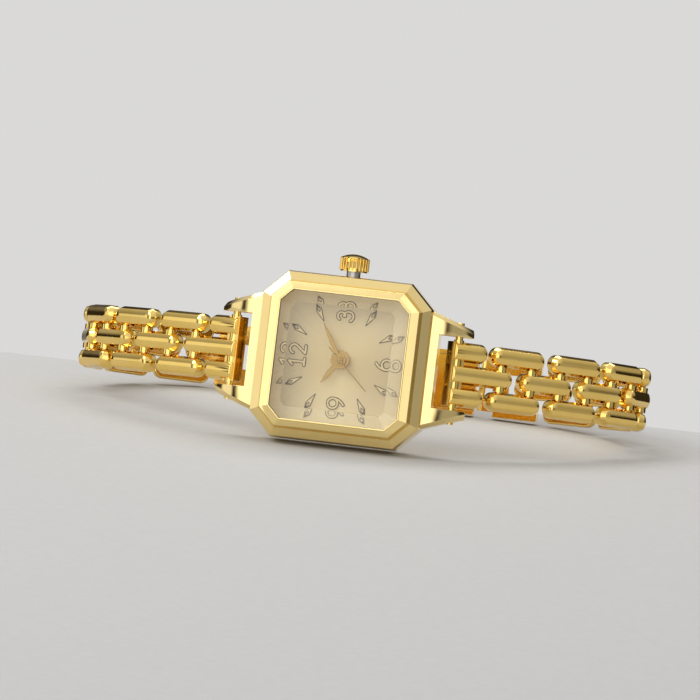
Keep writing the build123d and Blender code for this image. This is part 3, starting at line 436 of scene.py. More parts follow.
@dataclass(frozen=True)
class WatchGlass:
    """Clear mineral glass with a faint wiped haze, which lets the light fall on the dial."""

    name: str = "mineral_glass"
    index: float = 1.5
    clean: Colour = (0.985, 0.99, 0.985, 1)
    wiped: Colour = (0.95, 0.965, 0.95, 1)
    shadow: Colour = (0.94, 0.95, 0.94, 1)
    shaded: Colour = (0.24, 0.15, 0.05, 1)
    lit: Colour = (1.0, 0.90, 0.66, 1)
    haze_scale: float = 700.0
    haze_stretch: Triple = (1, 1, 3)
    haze_tint: float = 0.2
    haze_roughness: float = 0.012
    facet_roughness: float = 0.2
    facet_haze: float = 0.1
    facet_glow: float = 0.3
    facet_share: float = 0.30
    facet_least: float = 0.4

    def make(self) -> Material:
        """Builds the material: clear glass with a painted gleam on its facets, a pale painted
        highlight on the lit side and a dark painted shade on the other, faintly glowing, and clear
        in shadow.
        """
        mix = Recipe(self.name)
        haze = mix.noise(self.haze_scale, detail=3.0, stretch=self.haze_stretch)
        glass = mix.add("ShaderNodeBsdfPrincipled", {
            "Base Color": mix.blend(haze * self.haze_tint, self.clean, self.wiped),
            "Roughness": haze * self.haze_roughness,
            "IOR": self.index,
            "Transmission Weight": 1.0,
        })
        # Painted light on the facets: lit facets take a pale painted highlight, the others a dark
        # painted shade, with a faint glow.
        light = mix.mark("painted_facet_light")
        tint = mix.blend(light, self.shaded, self.lit)
        painted_gleam = mix.add("ShaderNodeBsdfPrincipled", {
            "Base Color": tint,
            "Roughness": haze * self.facet_haze + self.facet_roughness,
            "Emission Color": tint,
            "Emission Strength": self.facet_glow,
        })
        share = light * (1 - self.facet_least) + self.facet_least
        share = mix.mark("facet") * share * self.facet_share
        solid = mix.add("ShaderNodeMixShader", {0: share, 1: glass, 2: painted_gleam})
        clear = mix.add("ShaderNodeBsdfTransparent", {"Color": self.shadow})
        shadow = mix.add("ShaderNodeLightPath").out("Is Shadow Ray")
        return mix.end(mix.add("ShaderNodeMixShader", {0: shadow, 1: solid, 2: clear}))


class Finishes:
    """Every finish, made once and kept by the slot that it fills."""

    def __init__(self) -> None:
        """Makes the materials."""
        # The hands' gold is deeper, and their third colour is a dark painted shade on their rounded
        # edges.
        hands = ((0.84, 0.56, 0.17, 1), (0.66, 0.40, 0.09, 1), (0.22, 0.11, 0.02, 1))
        # The relief's edge colour is painted shade: the dark rims and rounded edges of the numerals
        # and markers.
        relief = {"edge": (0.07, 0.035, 0.012, 1), "metallic": 0.75, "roughness": 0.22}
        relief |= {"scale": 6000.0, "detail": 2.0, "stretch": (1, 1, 5), "haze": 0.12}
        relief |= {"height": 1.5e-6, "share": 0.4, "patch_share": 0.0}
        metal = {"metallic": 1.0, "roughness": 0.28, "scale": 2600.0, "stretch": (0.12, 1, 1)}
        metal |= {"haze": 0.16, "height": 2.5e-6, "share": 0.6, "patch_share": 0.4}
        metal |= {"patch_scale": 300.0}
        paper = {"roughness": 0.75, "scale": 900.0, "detail": 4.0, "haze": 0.1}
        paper |= {"height": 4e-5, "share": 1.0, "patch_share": 0.0}
        self.by_slot = {
            Slot.GOLD: PolishedGold().make(),
            Slot.HANDS: PolishedGold("hand_gold", *hands).make(),
            Slot.GLASS: WatchGlass().make(),
            Slot.DIAL: SunrayDial().make(),
            Slot.BOARD: CircuitPlastic().make(),
            Slot.COPPER: TurnedCopper().make(),
        }
        for slot, name, base, over, more in (
            (Slot.RELIEF, "champagne_relief", (0.92, 0.73, 0.40), (0.72, 0.53, 0.26), relief),
            (Slot.STEEL, "fine_steel", (0.36, 0.36, 0.37), (0.62, 0.62, 0.62), metal),
            (Slot.BRASS, "plate_brass", (0.46, 0.30, 0.10), (0.72, 0.52, 0.22), metal),
            (Slot.RUBBER, "seal_rubber", (0.012, 0.012, 0.012), (0.03, 0.03, 0.03), {}),
            (Slot.HOLDER, "holder_plastic", (0.5, 0.49, 0.46), (0.62, 0.61, 0.58), {}),
            (Slot.PAPER, "studio_paper", (0.46, 0.455, 0.445), (0.52, 0.515, 0.505), paper),
        ):
            self.by_slot[slot] = GrainedFinish(name, (*base, 1), (*over, 1), **more).make()

    def __getitem__(self, slot: Slot) -> Material:
        """The material of a slot."""
        return self.by_slot[slot]


# Meshes


def show(name: str, data: bpy.types.ID) -> bpy.types.Object:
    """Puts a mesh, lamp or camera in the scene, at the origin, as a new object."""
    data.name = name
    made = bpy.data.objects.new(name, data)
    bpy.context.scene.collection.objects.link(made)
    return made


def even_out(mesh: Mesh, smooth_angle: float) -> Mesh:
    """Smooths a mesh's faces, with normals that follow its larger faces.

    Args:
        mesh: the mesh, which is used up.
        smooth_angle: edges that bend more stay sharp.

    Returns:
        A new mesh, with its own normals.
    """
    for polygon in mesh.polygons:
        polygon.use_smooth = True
    mesh.set_sharp_from_angle(angle=math.radians(smooth_angle))
    carrier = show("carrier", mesh)
    weighting = carrier.modifiers.new("weighting", "WEIGHTED_NORMAL")
    weighting.keep_sharp = True
    weighting.weight = 100
    graph = bpy.context.evaluated_depsgraph_get()
    made = bpy.data.meshes.new_from_object(
        carrier.evaluated_get(graph), preserve_all_data_layers=True, depsgraph=graph
    )
    bpy.data.objects.remove(carrier)
    bpy.data.meshes.remove(mesh)
    return made


def settle(shape: Shape, smooth_angle: float = SMOOTH_ANGLE) -> Mesh:
    """Turns a shape into a mesh with smooth faces and sharp corners.

    Args:
        shape: the shape, which is freed.
        smooth_angle: edges that bend more stay sharp.

    Returns:
        The mesh.
    """
    mesh = bpy.data.meshes.new("shape")
    shape.to_mesh(mesh)
    shape.free()
    return even_out(mesh, smooth_angle)


def join(*meshes: Mesh) -> Mesh:
    """Joins meshes into one with all their faces."""
    shape = bmesh.new()
    for mesh in meshes:
        shape.from_mesh(mesh)
    return settle(shape)


def stack(shape: Shape, rings: Sequence[Sequence[Vector]]) -> None:
    """Joins rings of equal count into a closed skin.

    Args:
        shape: the shape that it goes into.
        rings: the rings, from the back to the front.
    """
    layers = [[shape.verts.new(point) for point in ring] for ring in rings]
    count = len(layers[0])
    for low, high in zip(layers, layers[1:]):
        for index in range(count):
            after = (index + 1) % count
            shape.faces.new((low[index], low[after], high[after], high[index]))
    shape.faces.new(tuple(reversed(layers[0])))
    shape.faces.new(tuple(layers[-1]))


def face_out(shape: Shape) -> Shape:
    """Turns every face of a shape outward, and hands the shape back."""
    bmesh.ops.recalc_face_normals(shape, faces=shape.faces)
    return shape


def copy_node(node: str) -> Shape:
    """Copies a CAD node's mesh as a shape, with its double points merged."""
    shape = bmesh.new()
    shape.from_mesh(frame["nodes"][node].data)
    bmesh.ops.remove_doubles(shape, verts=shape.verts, dist=MERGE * MM)
    return shape


@dataclass(frozen=True)
class Softening:
    """How the edges of a shape are rounded."""

    width: float = 0.05
    steps: int = 2
    from_angle: float = 32.0
    flat_angle: float = 0.6
    smooth_angle: float = SMOOTH_ANGLE

    def round(self, shape: Shape) -> None:
        """Rounds every edge that bends more than from_angle, and marks the new faces as edges.

        Args:
            shape: the shape.
        """
        layer = shape.faces.layers.float.new("edge")
        limit = math.radians(self.from_angle)
        sharp = [e for e in shape.edges if len(e.link_faces) == 2 and e.calc_face_angle() > limit]
        made = bmesh.ops.bevel(
            shape,
            geom=sharp,
            offset=self.width * MM,
            offset_type="OFFSET",
            segments=self.steps,
            profile=0.5,
            affect="EDGES",
            clamp_overlap=True,
            miter_outer="ARC",
        )
        for face in made["faces"]:
            face[layer] = 1.0

    def copy(self, node: str) -> Mesh:
        """Copies a CAD node's mesh and rounds its edges."""
        shape = copy_node(node)
        flat = math.radians(self.flat_angle)
        bmesh.ops.dissolve_limit(
            shape, angle_limit=flat, verts=shape.verts, edges=shape.edges, delimit=set()
        )
        self.round(shape)
        return settle(shape, self.smooth_angle)


# Sub-assemblies


@dataclass
class Assembly:
    """A part of the scene that hands its finished pieces to the frame."""

    finishes: Finishes

    def build(self) -> None:
        """Builds its pieces."""
        raise NotImplementedError

    def fit(self, name: str, mesh: Mesh, body: str, slot: Slot, node: str) -> None:
        """Dresses a piece, hangs it on its body and reports it.

        Args:
            name: the piece's name.
            mesh: its mesh.
            body: the body that it rides on.
            slot: the slot that its finish comes from.
            node: the CAD node that it stands for.
        """
        made = show(name, mesh)
        mesh.materials.clear()
        mesh.materials.append(self.finishes[slot])
        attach(made, body)
        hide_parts(node)
        log.info("%s rides on %s with %d faces", made.name, body, len(mesh.polygons))


@dataclass
class Movement(Assembly):
    """The pieces inside and between, whose CAD shapes are right as they are."""

    def build(self) -> None:
        """Gives every CAD node the finish of its slot."""
        for node, held in frame["nodes"].items():
            for place in held.material_slots:
                slot = Slot(place.material.name.split(".")[0])
                place.material = self.finishes[slot]
                log.info("%s has the finish %s", node, slot.value)


@dataclass
class Shells(Assembly):
    """The pieces that keep their CAD shape: the case, the dial plate, the hands and the clasp."""

    case: Softening = Softening(width=0.12, steps=4, from_angle=20.0, smooth_angle=23.5)
    bezel: Softening = Softening(width=0.22, steps=4, from_angle=14.0)
    plate: Softening = Softening(width=0.02, steps=1)
    hand: Softening = Softening(width=0.045, from_angle=50.0)
    leaf: Softening = Softening(width=0.06)

    def build(self) -> None:
        """Rounds their edges, and marks the head's for the paler tone of gold."""
        for node, name, body, slot, softening in (
            ("case_middle", "case_shell", "head", Slot.GOLD, self.case),
            ("bezel", "stepped_bezel", "head", Slot.GOLD, self.bezel),
            ("case_back", "snap_back", "head", Slot.GOLD, self.leaf),
            ("dial", "dial_plate", "head", Slot.DIAL, self.plate),
            ("hour_hand", "hour_leaf", "hour", Slot.HANDS, self.hand),
            ("minute_hand", "minute_leaf", "minute", Slot.HANDS, self.hand),
            ("second_hand", "seconds_needle", "seconds", Slot.HANDS, self.hand),
            ("clasp_base", "clasp_inner_leaf", "clasp_base", Slot.GOLD, self.leaf),
            ("clasp_cover", "clasp_outer_leaf", "clasp_cover", Slot.GOLD, self.leaf),
            ("hook_plate", "clasp_hook_leaf", "hook_plate", Slot.GOLD, self.leaf),
        ):
            mesh = softening.copy(node)
            pale = mesh.attributes.new("pale", "FLOAT", "POINT")
            pale.data.foreach_set("value", [float(body == "head")] * len(mesh.vertices))
            self.fit(name, mesh, body, slot, node)


@dataclass
class Crystal(Assembly):
    """The thick faceted glass, with painted light on its facets."""

    softening: Softening = Softening(from_angle=12.0)
    facet_fronts: Pair = (0.5, 0.95)
    bright_side: Triple = (0.75, 0.0, -0.66)
    light_middle: float = 0.5
    light_change: float = 0.8

    def build(self) -> None:
        """Builds the glass, and marks its facets and how much painted light each one holds."""
        mesh = self.softening.copy("crystal")
        facet = mesh.attributes.new("facet", "FLOAT", "FACE")
        light = mesh.attributes.new("painted_facet_light", "FLOAT", "FACE")
        # Each facet's painted light follows the side that it faces, towards the bright side or away
        # from it.
        toward = Vector(self.bright_side)
        least, most = self.facet_fronts
        for polygon in mesh.polygons:
            if least < -polygon.normal.y < most:
                level = self.light_middle + self.light_change * polygon.normal.dot(toward)
                facet.data[polygon.index].value = 1.0
                light.data[polygon.index].value = min(max(level, 0.0), 1.0)
        self.fit("faceted_glass", mesh, "head", Slot.GLASS, "crystal")


@dataclass
class Relief(Assembly):
    """The dial's raised numerals and markers, each with a dark rim of painted shade round its
    strokes.
    """

    softening: Softening = Softening(width=0.04, steps=1, from_angle=50.0)
    shade_rim_width: float = 0.07
    shade_rim_drop: float = 0.05
    most_tilt: float = 0.5

    def painted_shade_rim(self, node: str) -> Mesh:
        """A wider and lower copy of a CAD node's relief, marked as an edge: the rim of painted
        shade round the strokes.
        """
        shape = copy_node(node)
        shape.normal_update()
        front = min(vertex.co.y for vertex in shape.verts) + self.shade_rim_drop * MM
        outward = {}
        for vertex in shape.verts:
            faces = [face.normal for face in vertex.link_faces]
            sides = [normal for normal in faces if abs(normal.y) < self.most_tilt]
            outward[vertex] = sum(sides, Vector()).normalized()
        for vertex, way in outward.items():
            vertex.co += Vector((way.x, 0, way.z)) * self.shade_rim_width * MM
            vertex.co.y = max(vertex.co.y, front)
        layer = shape.faces.layers.float.new("edge")
        for face in shape.faces:
            face[layer] = 1.0
        return settle(shape)

    def build(self) -> None:
        """Builds both, each on its dark rim of painted shade."""
        for node, name in (("dial_numerals", "raised_numerals"), ("dial_markers", "kite_markers")):
            mesh = join(self.softening.copy(node), self.painted_shade_rim(node))
            self.fit(name, mesh, "head", Slot.RELIEF, node)


class Shaper(Graph):
    """A Geometry Nodes tree with named inputs, run once on a host mesh."""

    def __init__(self, name: str, **inputs: Sequence[str]) -> None:
        """Makes the tree.

        Args:
            name: the tree's name.
            inputs: the names of its inputs, by their kind.
        """
        group = bpy.data.node_groups.new(name, "GeometryNodeTree")
        face = group.interface
        face.new_socket(name="Geometry", in_out="INPUT", socket_type="NodeSocketGeometry")
        self.names = {}
        for kind, labels in {**inputs, "Material": ["Finish"]}.items():
            for label in labels:
                made = face.new_socket(name=label, in_out="INPUT", socket_type="NodeSocket" + kind)
                self.names[label] = made.identifier
        face.new_socket(name="Geometry", in_out="OUTPUT", socket_type="NodeSocketGeometry")
        super().__init__(group)
        self.given = self.add("NodeGroupInput")

    def spread(self, points: Channel, piece: Channel, turn: Triple = (0, 0, 0)) -> Channel:
        """Sets a copy of the piece on every point, turned by radians."""
        values = {"Points": points, "Instance": piece, "Rotation": turn}
        return self.add("GeometryNodeInstanceOnPoints", values)

    def row(self, count: Channel | int, axis: str, start: Channel, step: Channel) -> Channel:
        """A row of points along an axis, from a start and a step apart."""
        first, gap = (self.add("ShaderNodeCombineXYZ", {axis: value}) for value in (start, step))
        values = {"Count": count, "Start Location": first, "Offset": gap}
        return self.add("GeometryNodeMeshLine", values, mode="OFFSET")

    def rod(self, sides: int, radius: Channel, length: Channel) -> Channel:
        """A cylinder along Z."""
        values = {"Vertices": sides, "Radius": radius, "Depth": length}
        return self.add("GeometryNodeMeshCylinder", values)

    def close(self, *parts: Channel) -> None:
        """Joins the parts, realizes them, sets the material and ends the tree."""
        joined = self.add("GeometryNodeJoinGeometry")
        for part in parts:
            self.tree.links.new(part.socket, joined.node.inputs[0])
        real = self.add("GeometryNodeRealizeInstances", {0: joined})
        values = {"Geometry": real, "Material": self.given.out("Finish")}
        self.add("NodeGroupOutput", {0: self.add("GeometryNodeSetMaterial", values)})

    def run(self, host: Mesh, values: dict[str, Any]) -> Mesh:
        """Runs the tree on a mesh.

        Args:
            host: the mesh that goes in.
            values: what the named inputs get.

        Returns:
            The finished plain mesh.
        """
        carrier = show("carrier", host)
        modifier = carrier.modifiers.new("shaper", "NODES")
        modifier.node_group = self.tree
        for label, value in values.items():
            modifier[self.names[label]] = value
        graph = bpy.context.evaluated_depsgraph_get()
        mesh = bpy.data.meshes.new_from_object(carrier.evaluated_get(graph))
        carrier.modifiers.remove(modifier)
        bpy.data.objects.remove(carrier)
        return even_out(mesh, SMOOTH_ANGLE)


@dataclass
class Crown(Assembly):
    """The fluted crown. The drops are shares of its dome's height, down from its top."""

    radius: float = 1.75
    root_radius: float = 1.6
    rim_share: float = 0.985
    ridges: int = 24
    ridge_radius: float = 0.1
    ridge_sides: int = 14
    ridge_drop: float = 1.05
    rim_drop: float = 1.12
    neck_drop: float = 1.25
    dome: float = 0.5
    dome_steps: int = 10
    base_bevel: float = 0.15
    bore_radius: float = 0.88
    bore_depth: float = 1.3
    sides: int = 96

    def body_mesh(self, low: float, high: float, depth: float) -> Mesh:
        """The turned body: a cup with a domed top, open below for the tube.

        Args:
            low: the underside's Z in millimetres.
            high: the top's Z in millimetres.
            depth: how far the axis lies in front of the case back.

        Returns:
            The mesh, without its ridges.
        """
        height = high - low
        dome_radius = (self.radius**2 + self.dome**2) / (2 * self.dome)
        rim = self.radius * self.rim_share
        profile = [
            (self.bore_radius, self.bore_depth),
            (self.bore_radius, 0.0),
            (self.radius - self.base_bevel, 0.0),
            (self.root_radius, self.base_bevel),
            (self.root_radius, height - self.dome * self.neck_drop),
            (rim, height - self.dome * self.rim_drop),
        ]
        for step in range(self.dome_steps):
            radius = rim * (1 - step / self.dome_steps)
            drop = dome_radius - math.sqrt(dome_radius**2 - radius**2)
            profile.append((radius, height - drop))
        turn = [2 * math.pi * k / self.sides for k in range(self.sides)]
        rings = [
            [Vector((out * math.cos(a), -depth + out * math.sin(a), low + up)) * MM for a in turn]
            for out, up in profile
        ]
        shape = bmesh.new()
        stack(shape, rings)
        return settle(face_out(shape))

    def shaper(self) -> Shaper:
        """The tree that stands a ridge at each step round the crown's body."""
        sizes = ["Root Radius", "Ridge Radius", "Ridge Height"]
        tree = Shaper("crown_ridges", Int=["Ridges"], Float=sizes, Vector=["Middle"])
        given = tree.given
        circle = {"Vertices": given.out("Ridges"), "Radius": given.out("Root Radius")}
        places = tree.add("GeometryNodeMeshCircle", circle)
        ridge = tree.rod(self.ridge_sides, given.out("Ridge Radius"), given.out("Ridge Height"))
        moved = {"Geometry": tree.spread(places, ridge), "Translation": given.out("Middle")}
        tree.close(given.out("Geometry"), tree.add("GeometryNodeTransform", moved))
        return tree

    def build(self) -> None:
        """Builds the crown and its ridges."""
        low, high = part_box("crown")
        depth = -(low.y + high.y) / 2 / MM
        ridge_low = low.z / MM + self.base_bevel
        ridge_high = high.z / MM - self.dome * self.ridge_drop
        values = {
            "Ridges": self.ridges,
            "Root Radius": (self.radius - self.ridge_radius) * MM,
            "Ridge Radius": self.ridge_radius * MM,
            "Ridge Height": (ridge_high - ridge_low) * MM,
            "Middle": (0.0, -depth * MM, (ridge_low + ridge_high) / 2 * MM),
            "Finish": self.finishes[Slot.GOLD],
        }
        mesh = self.shaper().run(self.body_mesh(low.z / MM, high.z / MM, depth), values)
        self.fit("fluted_crown", mesh, "crown", Slot.GOLD, "crown")


@dataclass(frozen=True)
class Bead:
    """One pill-shaped bead: a flat back, upright sides, sloping flanks and a puffed front."""

    width: float = 2.3
    thickness: float = 1.9
    back_round: float = 0.25
    back_steps: int = 4
    crown_radius: float = 1.5
    crown_edge: float = 33.0
    crown_steps: int = 7
    flank_slope: float = 64.0
    crease_round: float = 0.07
    shoulder_round: float = 0.1
    bend_steps: int = 3
    middle_line: float = 0.02
    square_slope: float = 0.8
    square_rise: float = 0.3
    end_steps: int = 20

    @staticmethod
    def bend(start: Pair, radius: float, low: float, high: float, steps: int) -> list[Pair]:
        """An arc that runs outward and down.

        Args:
            start: the point before the arc, as distance from the middle and height.
            radius: its radius.
            low: the slope at its start.
            high: the slope at its end.
            steps: how many points it has.

        Returns:
            The points after the start.
        """
        first = math.radians(low)
        found = []
        for step in range(1, steps + 1):
            slope = math.radians(low + (high - low) * step / steps)
            out = start[0] + radius * (math.sin(slope) - math.sin(first))
            found.append((out, start[1] - radius * (math.cos(first) - math.cos(slope))))
        return found

    def levels(self) -> list[Pair]:
        """The bead's section, worked out from the middle of its front down to its back.

        Returns:
            The outline's inset at each height, from the back to the front.
        """
        half, reach = self.thickness / 2, self.width / 2
        slope, steps = self.flank_slope, self.bend_steps
        line = [(self.middle_line, half)]
        line += self.bend(line[-1], self.crown_radius, 0.0, self.crown_edge, self.crown_steps)
        line += self.bend(line[-1], self.crease_round, self.crown_edge, slope, steps)
        run = self.shoulder_round * (1 - math.sin(math.radians(slope)))
        drop = (reach - run - line[-1][0]) * math.tan(math.radians(slope))
        line.append((reach - run, line[-1][1] - drop))
        line += self.bend(line[-1], self.shoulder_round, slope, 90.0, steps)
        line.append((reach, self.back_round - half))
        for step in range(1, self.back_steps + 1):
            angle = math.radians(90 * step / self.back_steps)
            inward = self.back_round * (1 - math.cos(angle))
            line.append((reach - inward, self.back_round * (1 - math.sin(angle)) - half))
        return [(reach - out, up) for out, up in reversed(line)]

    def square_cut(self, inset: float, up: float) -> float:
        """How far a square end leans in at a level.

        Args:
            inset: the outline's inset there.
            up: the level's height.

        Returns:
            The distance along the band.
        """
        if up < 0:
            return 0.0
        knee = self.width / 2 - self.crown_radius * math.sin(math.radians(self.crown_edge))
        return self.square_slope * min(inset, knee) + self.square_rise * max(inset - knee, 0.0)

    def half_turn(self, middle: float, radius: float, start: float) -> list[Pair]:
        """Points along a half circle about a place on the band's middle, from a start angle."""
        turn = [math.radians(start + 180 * k / self.end_steps) for k in range(self.end_steps + 1)]
        return [(middle + radius * math.cos(a), radius * math.sin(a)) for a in turn]

    def outline(self, low: float, high: float, inset: float, cut: float | None) -> list[Pair]:
        """The bead's outline, seen from the front.

        Args:
            low: where it starts along the band.
            high: where it ends.
            inset: how far the outline is drawn in.
            cut: how far a square low end leans in, or nothing for a round one.

        Returns:
            Points along and across the band, counterclockwise.
        """
        radius = self.width / 2 - inset
        points = self.half_turn(high - self.width / 2, radius, -90)
        if cut is not None:
            return points + [(low + cut, radius), (low + cut, -radius)]
        return points + self.half_turn(low + self.width / 2, radius, 90)

    def shape(self, *spans: tuple[float, float, float, bool]) -> Shape:
        """Beads in a link's own frame.

        Args:
            spans: for each bead, where it starts and ends along the band, its row's place across
                the band, and whether its low end is cut straight.

        Returns:
            The shape.
        """
        shape = bmesh.new()
        for low, high, across, square in spans:
            rings = []
            for inset, up in self.levels():
                cut = self.square_cut(inset, up) if square else None
                line = self.outline(low, high, inset, cut)
                rings.append([Vector((along, over + across, up)) * MM for along, over in line])
            stack(shape, rings)
        return shape


@dataclass
class Bracelet(Assembly):
    """The three rows of beads on both sides, with the end links."""

    bead: Bead = Bead()
    bead_length: float = 7.1
    row_pitch: float = 2.65
    pin_radius: float = 0.4
    pin_sides: int = 40
    boss_radius: float = 0.72
    boss_gap: float = 0.04
    end_bead_start: float = 0.9
    end_bead_length: float = 3.9
    long_bead_length: float = 7.45
    block_end: float = 0.75
    block_back: float = 1.1
    block_front: float = 0.45
    end_softening: Softening = Softening(from_angle=40.0)
    links: int = 6

    @property
    def boss_reach(self) -> float:
        """Half the length of the boss between two outer rows."""
        return self.row_pitch - self.bead.width / 2 - self.boss_gap

    def shaper(self) -> Shaper:
        """The tree that sets a bead in rows and runs two pins across them."""
        sizes = ["First Row", "Row Step", "Pin Pitch", "Pin Radius", "Pin Length"]
        tree = Shaper("beaded_link", Int=["Rows"], Float=sizes)
        given = tree.given
        row = tree.row(given.out("Rows"), "Y", given.out("First Row"), given.out("Row Step"))
        beads = tree.spread(row, given.out("Geometry"))
        pitch = given.out("Pin Pitch")
        ends = tree.row(2, "X", pitch * -0.5, pitch)
        pin = tree.rod(self.pin_sides, given.out("Pin Radius"), given.out("Pin Length"))
        tree.close(beads, tree.spread(ends, pin, (math.radians(90), 0, 0)))
        return tree

    def link_place(self, start: Vector, end: Vector, side: int, origin: Vector) -> Matrix:
        """Where a link lies: its X runs along the band and its Z out from the wrist.

        Args:
            start: its first pin.
            end: its second pin.
            side: the sign of X on this side.
            origin: where its own frame has its origin.

        Returns:
            The matrix from the link's own frame.
        """
        along = (end - start).normalized()
        outward = along.cross(Vector((0, 0, 1))) * side
        turned = Matrix((along, outward.cross(along), outward)).transposed()
        return Matrix.Translation(origin) @ turned.to_4x4()

    def chain(self, hour: Hour) -> list[str]:
        """The bodies of one side, from the end link to the clasp."""
        numbers, end = range(1, self.links + 1), hour.value
        links = [f"{kind}_link_{end}_{k}" for k in numbers for kind in ("outer", "middle")]
        return [f"end_link_{end}", *links, "clasp_base" if hour is Hour.TWELVE else "hook_plate"]

    def bead_mesh(self) -> Mesh:
        """One bead about its own middle."""
        half = self.bead_length / 2
        return settle(face_out(self.bead.shape((-half, half, 0.0, False))))

    def end_link_mesh(self) -> Mesh:
        """Three fused beads on their cross block, with the spring bar at the origin."""
        start, end, pitch = -self.end_bead_start, self.block_end, self.row_pitch
        shape = self.bead.shape(
            (start, self.long_bead_length, 0.0, True),
            (start, self.end_bead_length, -pitch, True),
            (start, self.end_bead_length, pitch, True),
        )
        half = pitch + self.bead.width / 2
        corners = ((start, -half), (end, -half), (end, half), (start, half))
        levels = (-self.block_back, self.block_front)
        stack(shape, [[Vector((x, y, z)) * MM for x, y in corners] for z in levels])
        self.end_softening.round(face_out(shape))
        return settle(shape)

    def boss_mesh(self, along: float) -> Mesh:
        """The end link's boss round its first pin, which is so many metres along the band."""
        shape = bmesh.new()
        bmesh.ops.create_cone(
            shape,
            cap_ends=True,
            segments=self.pin_sides,
            radius1=self.boss_radius * MM,
            radius2=self.boss_radius * MM,
            depth=2 * self.boss_reach * MM,
            matrix=Matrix.Translation((along, 0, 0)) @ Matrix.Rotation(math.radians(90), 4, "X"),
        )
        return settle(shape)

    def link_mesh(self, tree: Shaper, pitch: float, middle: bool) -> Mesh:
        """A link about its own middle.

        Args:
            tree: the link tree.
            pitch: how far its pins are apart, in metres.
            middle: whether it is of the middle row.

        Returns:
            The mesh.
        """
        rows, first = (1, 0.0) if middle else (2, -self.row_pitch)
        radius, half = (
            (self.boss_radius, self.boss_reach) if middle else (self.pin_radius, self.row_pitch)
        )
        values = {
            "Rows": rows,
            "First Row": first * MM,
            "Row Step": 2 * self.row_pitch * MM,
            "Pin Pitch": pitch,
            "Pin Radius": radius * MM,
            "Pin Length": 2 * half * MM,
            "Finish": self.finishes[Slot.GOLD],
        }
        return tree.run(self.bead_mesh(), values)

    def build(self) -> None:
        """Builds the links of both sides."""
        tree = self.shaper()
        joints = [joint for joint in frame["joints"] if "pos_m" in joint]
        hinges = {joint["child"]: Vector(joint["pos_m"]) for joint in joints}
        for hour in Hour:
            names = self.chain(hour)
            places = [hinges[name] for name in names]
            for name, start, end in zip(names, places, places[1:]):
                pitch = (end - start).length
                if name.startswith("end"):
                    mesh, origin = join(self.end_link_mesh(), self.boss_mesh(pitch)), start
                else:
                    mesh = self.link_mesh(tree, pitch, name.startswith("middle"))
                    origin = (start + end) / 2
                mesh.transform(self.link_place(start, end, hour.side, origin))
                self.fit("beads_" + name, mesh, name, Slot.GOLD, name)


# Studio


@dataclass(frozen=True)
class Lamp:
    """One soft lamp, in metres and watts."""

    name: str
    place: Triple
    power: float
    size: Pair

    def build(self, target: Vector) -> None:
        """Puts the lamp up, pointing at the target.

        Args:
            target: what it points at, in metres.
        """
        light = bpy.data.lights.new(self.name, "AREA")
        light.shape = "RECTANGLE"
        light.size, light.size_y = self.size
        light.energy = self.power
        holder = show(self.name, light)
        holder.location = self.place
        aim = target - Vector(self.place)
        holder.rotation_euler = aim.to_track_quat("-Z", "Y").to_euler()


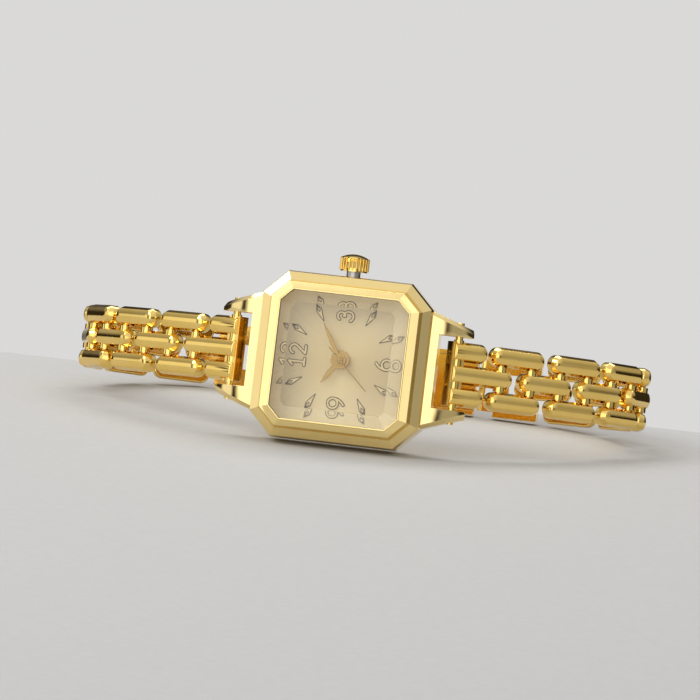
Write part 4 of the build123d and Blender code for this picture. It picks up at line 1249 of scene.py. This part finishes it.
@dataclass
class Studio(Assembly):
    """The floor, the light in the room, the lamps and the camera.

    Each patch of light has its direction, the cosines where it starts and is full, and its level.
    """

    azimuth: float = 6.9612
    elevation: float = -1.5439
    roll: float = -6.7693
    distance: float = 1000.0
    focal_pixels: float = 8528.13
    frame_pixels: float = 700.0
    sensor: float = 36.0
    clip: Pair = (0.01, 10.0)
    target: Triple = (1.0023, -5.0, 1.2787)
    floor_touch: Pair = (0.0, -9.86)
    floor_slope: float = 0.163
    floor_front: float = -900.0
    floor_back: float = 45.0
    floor_half_width: float = 900.0
    floor_thickness: float = 12.0
    pale: Colour = (0.70, 0.695, 0.685, 1)
    ring: Colour = (0.03, 0.0252, 0.018, 1)
    back_level: float = 0.66
    back_width: Pair = (0.92, 0.98)
    below_level: float = 0.3
    below_width: Pair = (0.06, 0.14)
    band_low: Pair = (0.10, 0.34)
    band_back: Pair = (0.35, 0.85)
    band_level: float = 0.88
    band_fall: float = 0.74
    patches: tuple[tuple[Triple, Pair, float], ...] = (
        ((-0.16, -0.98, 0.14), (0.74, 0.93), 1.55),
        ((0.91, -0.41, 0.02), (0.80, 0.96), 0.36),
        ((-0.97, -0.22, 0.04), (0.92, 0.97), 0.95),
    )
    lamp_target: Triple = (0, 0.01, 0)
    lamps: tuple[Lamp, ...] = (
        Lamp("key_lamp", (-0.34, -0.30, 0.36), 1.1, (0.22, 0.22)),
        Lamp("top_lamp", (-0.05, 0.16, 0.50), 1.2, (0.60, 0.14)),
    )

    def floor(self) -> None:
        """Lays the floor, which rises gently behind the watch and stops there."""
        y0, z0 = self.floor_touch
        wide, front, back = self.floor_half_width, self.floor_front, self.floor_back
        corners = ((-wide, front), (wide, front), (wide, back), (-wide, back))
        rings = [
            [Vector((x, y, z0 + self.floor_slope * (y - y0) - down)) * MM for x, y in corners]
            for down in (self.floor_thickness, 0.0)
        ]
        shape = bmesh.new()
        stack(shape, rings)
        slab = show("paper_floor", settle(face_out(shape)))
        slab.data.materials.append(self.finishes[Slot.PAPER])

    def camera(self) -> None:
        """Sets the camera at the photograph's angle."""
        data = bpy.data.cameras.new("studio_camera")
        data.sensor_width = self.sensor
        data.lens = self.focal_pixels / self.frame_pixels * self.sensor
        data.clip_start, data.clip_end = self.clip
        place = Matrix.Translation(Vector(self.target) * MM)
        for angle, axis in ((self.azimuth, "Z"), (90 - self.elevation, "X"), (-self.roll, "Z")):
            place = place @ Matrix.Rotation(math.radians(angle), 4, axis)
        holder = show("studio_camera", data)
        holder.matrix_world = place @ Matrix.Translation((0, 0, self.distance * MM))
        bpy.context.scene.camera = holder

    def world(self) -> None:
        """Fills the room with soft light: pale behind, and one wide window in front to the left.

        The eye, and metal that faces away from it, see the plain pale background.
        """
        world = bpy.data.worlds.new("studio_room")
        bpy.context.scene.world = world
        world.use_nodes = True
        graph = Graph(world.node_tree)
        source = graph.add("ShaderNodeTexCoord").out("Generated")
        x, y, z = graph.axes(source)
        band = graph.fade(z, self.band_low) * (1.0 - graph.fade(y, self.band_back))
        lit = band * (1.0 - x * x * self.band_fall) * self.band_level
        for way, width, level in self.patches:
            values = {0: source, 1: tuple(Vector(way).normalized())}
            near = graph.add("ShaderNodeVectorMath", values, operation="DOT_PRODUCT").out("Value")
            lit = graph.math("MAXIMUM", lit, graph.fade(near, width) * level)
        behind = graph.fade(y, self.back_width)
        below = graph.fade(0.0 - z, self.below_width) * self.below_level
        bright = lit + behind * self.back_level + below
        grey = graph.add("ShaderNodeCombineColor", dict.fromkeys(range(3), bright))
        values = {0: 1.0, 6: grey, 7: self.ring}
        settings = {"data_type": "RGBA", "blend_type": "ADD", "clamp_result": False}
        room = graph.add("ShaderNodeMix", values, **settings).out(2)
        path = graph.add("ShaderNodeLightPath")
        direct = path.out("Is Camera Ray") + path.out("Is Transmission Ray")
        direct = direct + path.out("Is Glossy Ray") * behind
        shown = graph.blend(direct.clamped(), room, self.pale)
        shader = graph.add("ShaderNodeBackground", {"Color": shown, "Strength": 1.0})
        graph.add("ShaderNodeOutputWorld", {"Surface": shader})

    def build(self) -> None:
        """Builds the whole studio."""
        bpy.context.scene.view_settings.view_transform = "Standard"
        self.floor()
        self.camera()
        self.world()
        for lamp in self.lamps:
            lamp.build(Vector(self.lamp_target))
        log.info("the studio is up")


def main() -> None:
    """Builds the watch in order, then the studio."""
    logging.basicConfig(level=logging.INFO, format="%(message)s")
    finishes = Finishes()
    for assembly in (Movement, Shells, Crystal, Relief, Crown, Bracelet, Studio):
        assembly(finishes).build()


if __name__ == "__main__":
    main()
